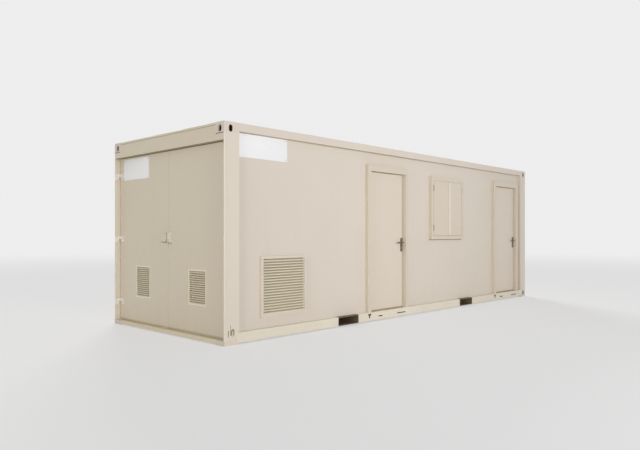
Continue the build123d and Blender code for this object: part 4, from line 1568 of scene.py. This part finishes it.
@dataclass
class BarePlate(Assembly):
    """A blank white plate, riveted at its corners."""

    name: str = "plate"
    body: str = "cabin"
    out: Vector = field(default_factory=lambda: ACROSS_FRONT.copy())
    low: Numbers = (0, 0, 0)
    high: Numbers = (1, 0, 1)
    thick: float = 0.003
    corner: float = 0.012
    rivet: float = 0.006
    rivet_height: float = 0.0028
    inset: float = 0.022

    def build(self) -> None:
        """Build the plate and its rivets on the face between the two corners."""
        low, high = Vector(self.low), Vector(self.high)
        step = self.out * self.thick
        plate = start_block(self.name, low, high + step)
        round_off(plate, running(self.out), self.corner, 5)
        inset_face(plate, self.out, ((0.0012, 0), (0.001, 0.0004)))
        smooth(plate, 30)
        self.dress(plate, Finish.PLATE, self.body)
        shift = (high - low) * (self.inset / (high - low).length)
        spots = [Vector((at.x, at.y, level)) + step for level in (low.z + self.inset, high.z - self.inset)
                 for at in (low + shift, high - shift)]
        self.build_screws(f"{self.name}_rivets", self.rivet, self.rivet_height, spots, self.out, Finish.ZINC,
                          self.body)


@dataclass
class Studio:
    """The floor, the lights and the camera."""

    lens: float = 33.42
    camera_at: Numbers = (-7.5605, -6.3856, 1.2151)
    camera_turn: float = -46.23
    lift: float = 0.014
    key_at: Numbers = (-4.5, -15.0, 3.0)
    key_size: Numbers = (5.0, 3.0)
    key_spread: float = 75.0
    key: float = 174.0
    side_at: Numbers = (-15.0, -5.0, 1.2)
    side_size: Numbers = (4.0, 2.0)
    side_spread: float = 90.0
    side: float = 87.0
    side_tint: Numbers = (0.99, 0.965, 0.87)
    back_from: Numbers = (0.55, 0.80, 0.35)
    back: float = 1.9
    back_spread: float = 24.0
    sky: float = 0.42
    floor_size: float = 400.0
    floor_level: float = -0.0005       # just under the cabin's feet
    floor_tone: float = 0.86
    glow: float = 0.92
    glow_share: float = 0.5
    blend_from: float = 9.0
    blend_to: float = 34.0
    backdrop: float = 0.85

    def build(self) -> None:
        """Build the whole studio."""
        self.build_floor()
        self.build_world()
        self.build_soft_box("key", self.key_at, self.key_size, self.key_spread, self.key,
                            Vector((0, LOW.y, HIGH.z / 2)))
        side = self.build_soft_box("side", self.side_at, self.side_size, self.side_spread, self.side,
                                   Vector((LOW.x, 0, HIGH.z / 2)))
        side.color = self.side_tint
        back = self.hang("back", "SUN", self.back, (0, 0, 0), Vector(self.back_from).to_track_quat("Z", "Y"))
        back.angle = math.radians(self.back_spread)
        self.build_camera()

    def build_floor(self) -> None:
        """Lay a plain pale floor that keeps the cabin's shadow and runs out into the backdrop."""
        deselect()
        bpy.ops.mesh.primitive_plane_add(size=self.floor_size, location=(0, 0, self.floor_level))
        floor = settle("studio_floor")
        material = bpy.data.materials.new("studio_floor")
        material.use_nodes = True
        tree = Tree(material.node_tree)
        tree.nodes.clear()
        place = tree.add("ShaderNodeTexCoord", {}).outputs["Object"]
        reach = tree.add("ShaderNodeVectorMath", {0: place}, operation="LENGTH").outputs["Value"]
        share = tree.fade(reach, self.blend_from, self.blend_to, self.glow_share, 1.0)
        tone = tree.fade(reach, self.blend_from, self.blend_to, self.glow, self.backdrop)
        diffuse = tree.add("ShaderNodeBsdfDiffuse", {"Color": (self.floor_tone,) * 3 + (1,)})
        self.show(tree, share, diffuse, tree.add("ShaderNodeEmission", {"Strength": tone}),
                  "ShaderNodeOutputMaterial")
        floor.data.materials.append(material)

    def show(self, tree: Tree, share: object, lit: bpy.types.Node, seen: bpy.types.Node, output: str) -> None:
        """Finish a tree that shows one shader to the camera, gloss and glass, and another to other light.

        Args:
            tree: The tree to finish.
            share: How much of the seen shader shows, or its socket.
            lit: The shader for other light.
            seen: The shader that is seen.
            output: The output node's type.
        """
        path = tree.add("ShaderNodeLightPath", {}).outputs
        looks = tree.maths("MAXIMUM", path["Is Camera Ray"], path["Is Glossy Ray"])
        looks = tree.maths("MAXIMUM", looks, path["Is Transmission Ray"])
        shares = {0: tree.maths("MULTIPLY", looks, share), 1: lit.outputs[0], 2: seen.outputs[0]}
        tree.add(output, {"Surface": tree.add("ShaderNodeMixShader", shares).outputs[0]})

    def build_world(self) -> None:
        """Light the cabin softly from all round, and show a pale backdrop."""
        world = bpy.data.worlds.new("studio")
        world.use_nodes = True
        tree = Tree(world.node_tree)
        tree.nodes.clear()
        light = tree.add("ShaderNodeBackground", {"Color": (1.0, 1.0, 1.0, 1), "Strength": self.sky})
        backdrop = tree.add("ShaderNodeBackground", {"Color": (self.backdrop,) * 3 + (1,)})
        self.show(tree, 1.0, light, backdrop, "ShaderNodeOutputWorld")
        bpy.context.scene.world = world

    def build_soft_box(self, name: str, at: Numbers, size: Numbers, spread: float,
                       power: float, aim: Vector) -> bpy.types.Light:
        """Set a soft box that looks at a point.

        Args:
            name: The lamp's name.
            at: Where it stands.
            size: Its breadth and height.
            spread: How wide its beam is, in degrees.
            power: Its power in watts.
            aim: The point that it looks at.

        Returns:
            The lamp.
        """
        lamp = self.hang(name, "AREA", power, at, (aim - Vector(at)).to_track_quat("-Z", "Y"))
        lamp.shape = "RECTANGLE"
        lamp.size, lamp.size_y = size
        lamp.spread = math.radians(spread)
        return lamp

    def hang(self, name: str, kind: str, power: float, at: Numbers, turn: Quaternion) -> bpy.types.Light:
        """Hang a lamp.

        Args:
            name: The lamp's name.
            kind: AREA or SUN.
            power: Its power.
            at: Where it hangs.
            turn: How it is turned.

        Returns:
            The lamp.
        """
        lamp = bpy.data.lights.new(name, kind)
        lamp.energy = power
        holder = bpy.data.objects.new(name, lamp)
        holder.location = at
        holder.rotation_euler = turn.to_euler()
        bpy.context.scene.collection.objects.link(holder)
        return lamp

    def build_camera(self) -> None:
        """Stand the camera at eye level off the near corner."""
        lens = bpy.data.cameras.new("camera")
        lens.lens = self.lens
        lens.shift_y = self.lift
        lens.clip_end = 1000
        camera = bpy.data.objects.new("camera", lens)
        camera.location = self.camera_at
        camera.rotation_euler = (math.radians(90), 0, math.radians(self.camera_turn))
        bpy.context.scene.collection.objects.link(camera)
        bpy.context.scene.camera = camera
        bpy.context.scene.view_settings.view_transform = "Standard"


def main() -> None:
    """Build the cabin's looks."""
    logging.basicConfig(level=logging.INFO, format="%(message)s")
    store = FinishStore()
    Studio().build()
    SteelBody(store).build()
    EndDoors(store).build()
    for number in (1, 2):
        SideDoor(store, number=number).build()
    Grille(store).build()
    for side in SIDES:
        Grille(store, node=f"end_vent_{side}", body=f"end_door_{side}", out=OUT_OF_END, rim=VENT_RIM,
               mesh_back=0.002, screw_radius=0.003, screws=3).build()
    Window(store).build()
    FootInsert(store).build()
    low, high = corners("front_wall_left")
    BarePlate(store, name="side_plate", low=(low.x + 0.005, low.y, high.z - 0.268),
              high=(low.x + 0.775, low.y, high.z - 0.003)).build()
    low, high = corners("end_door_left")
    BarePlate(store, name="end_plate", body="end_door_left", out=OUT_OF_END,
              low=(low.x, high.y - 0.74, high.z - 0.295), high=(low.x, high.y - 0.1, high.z - 0.02)).build()


if __name__ == "__main__":
    main()
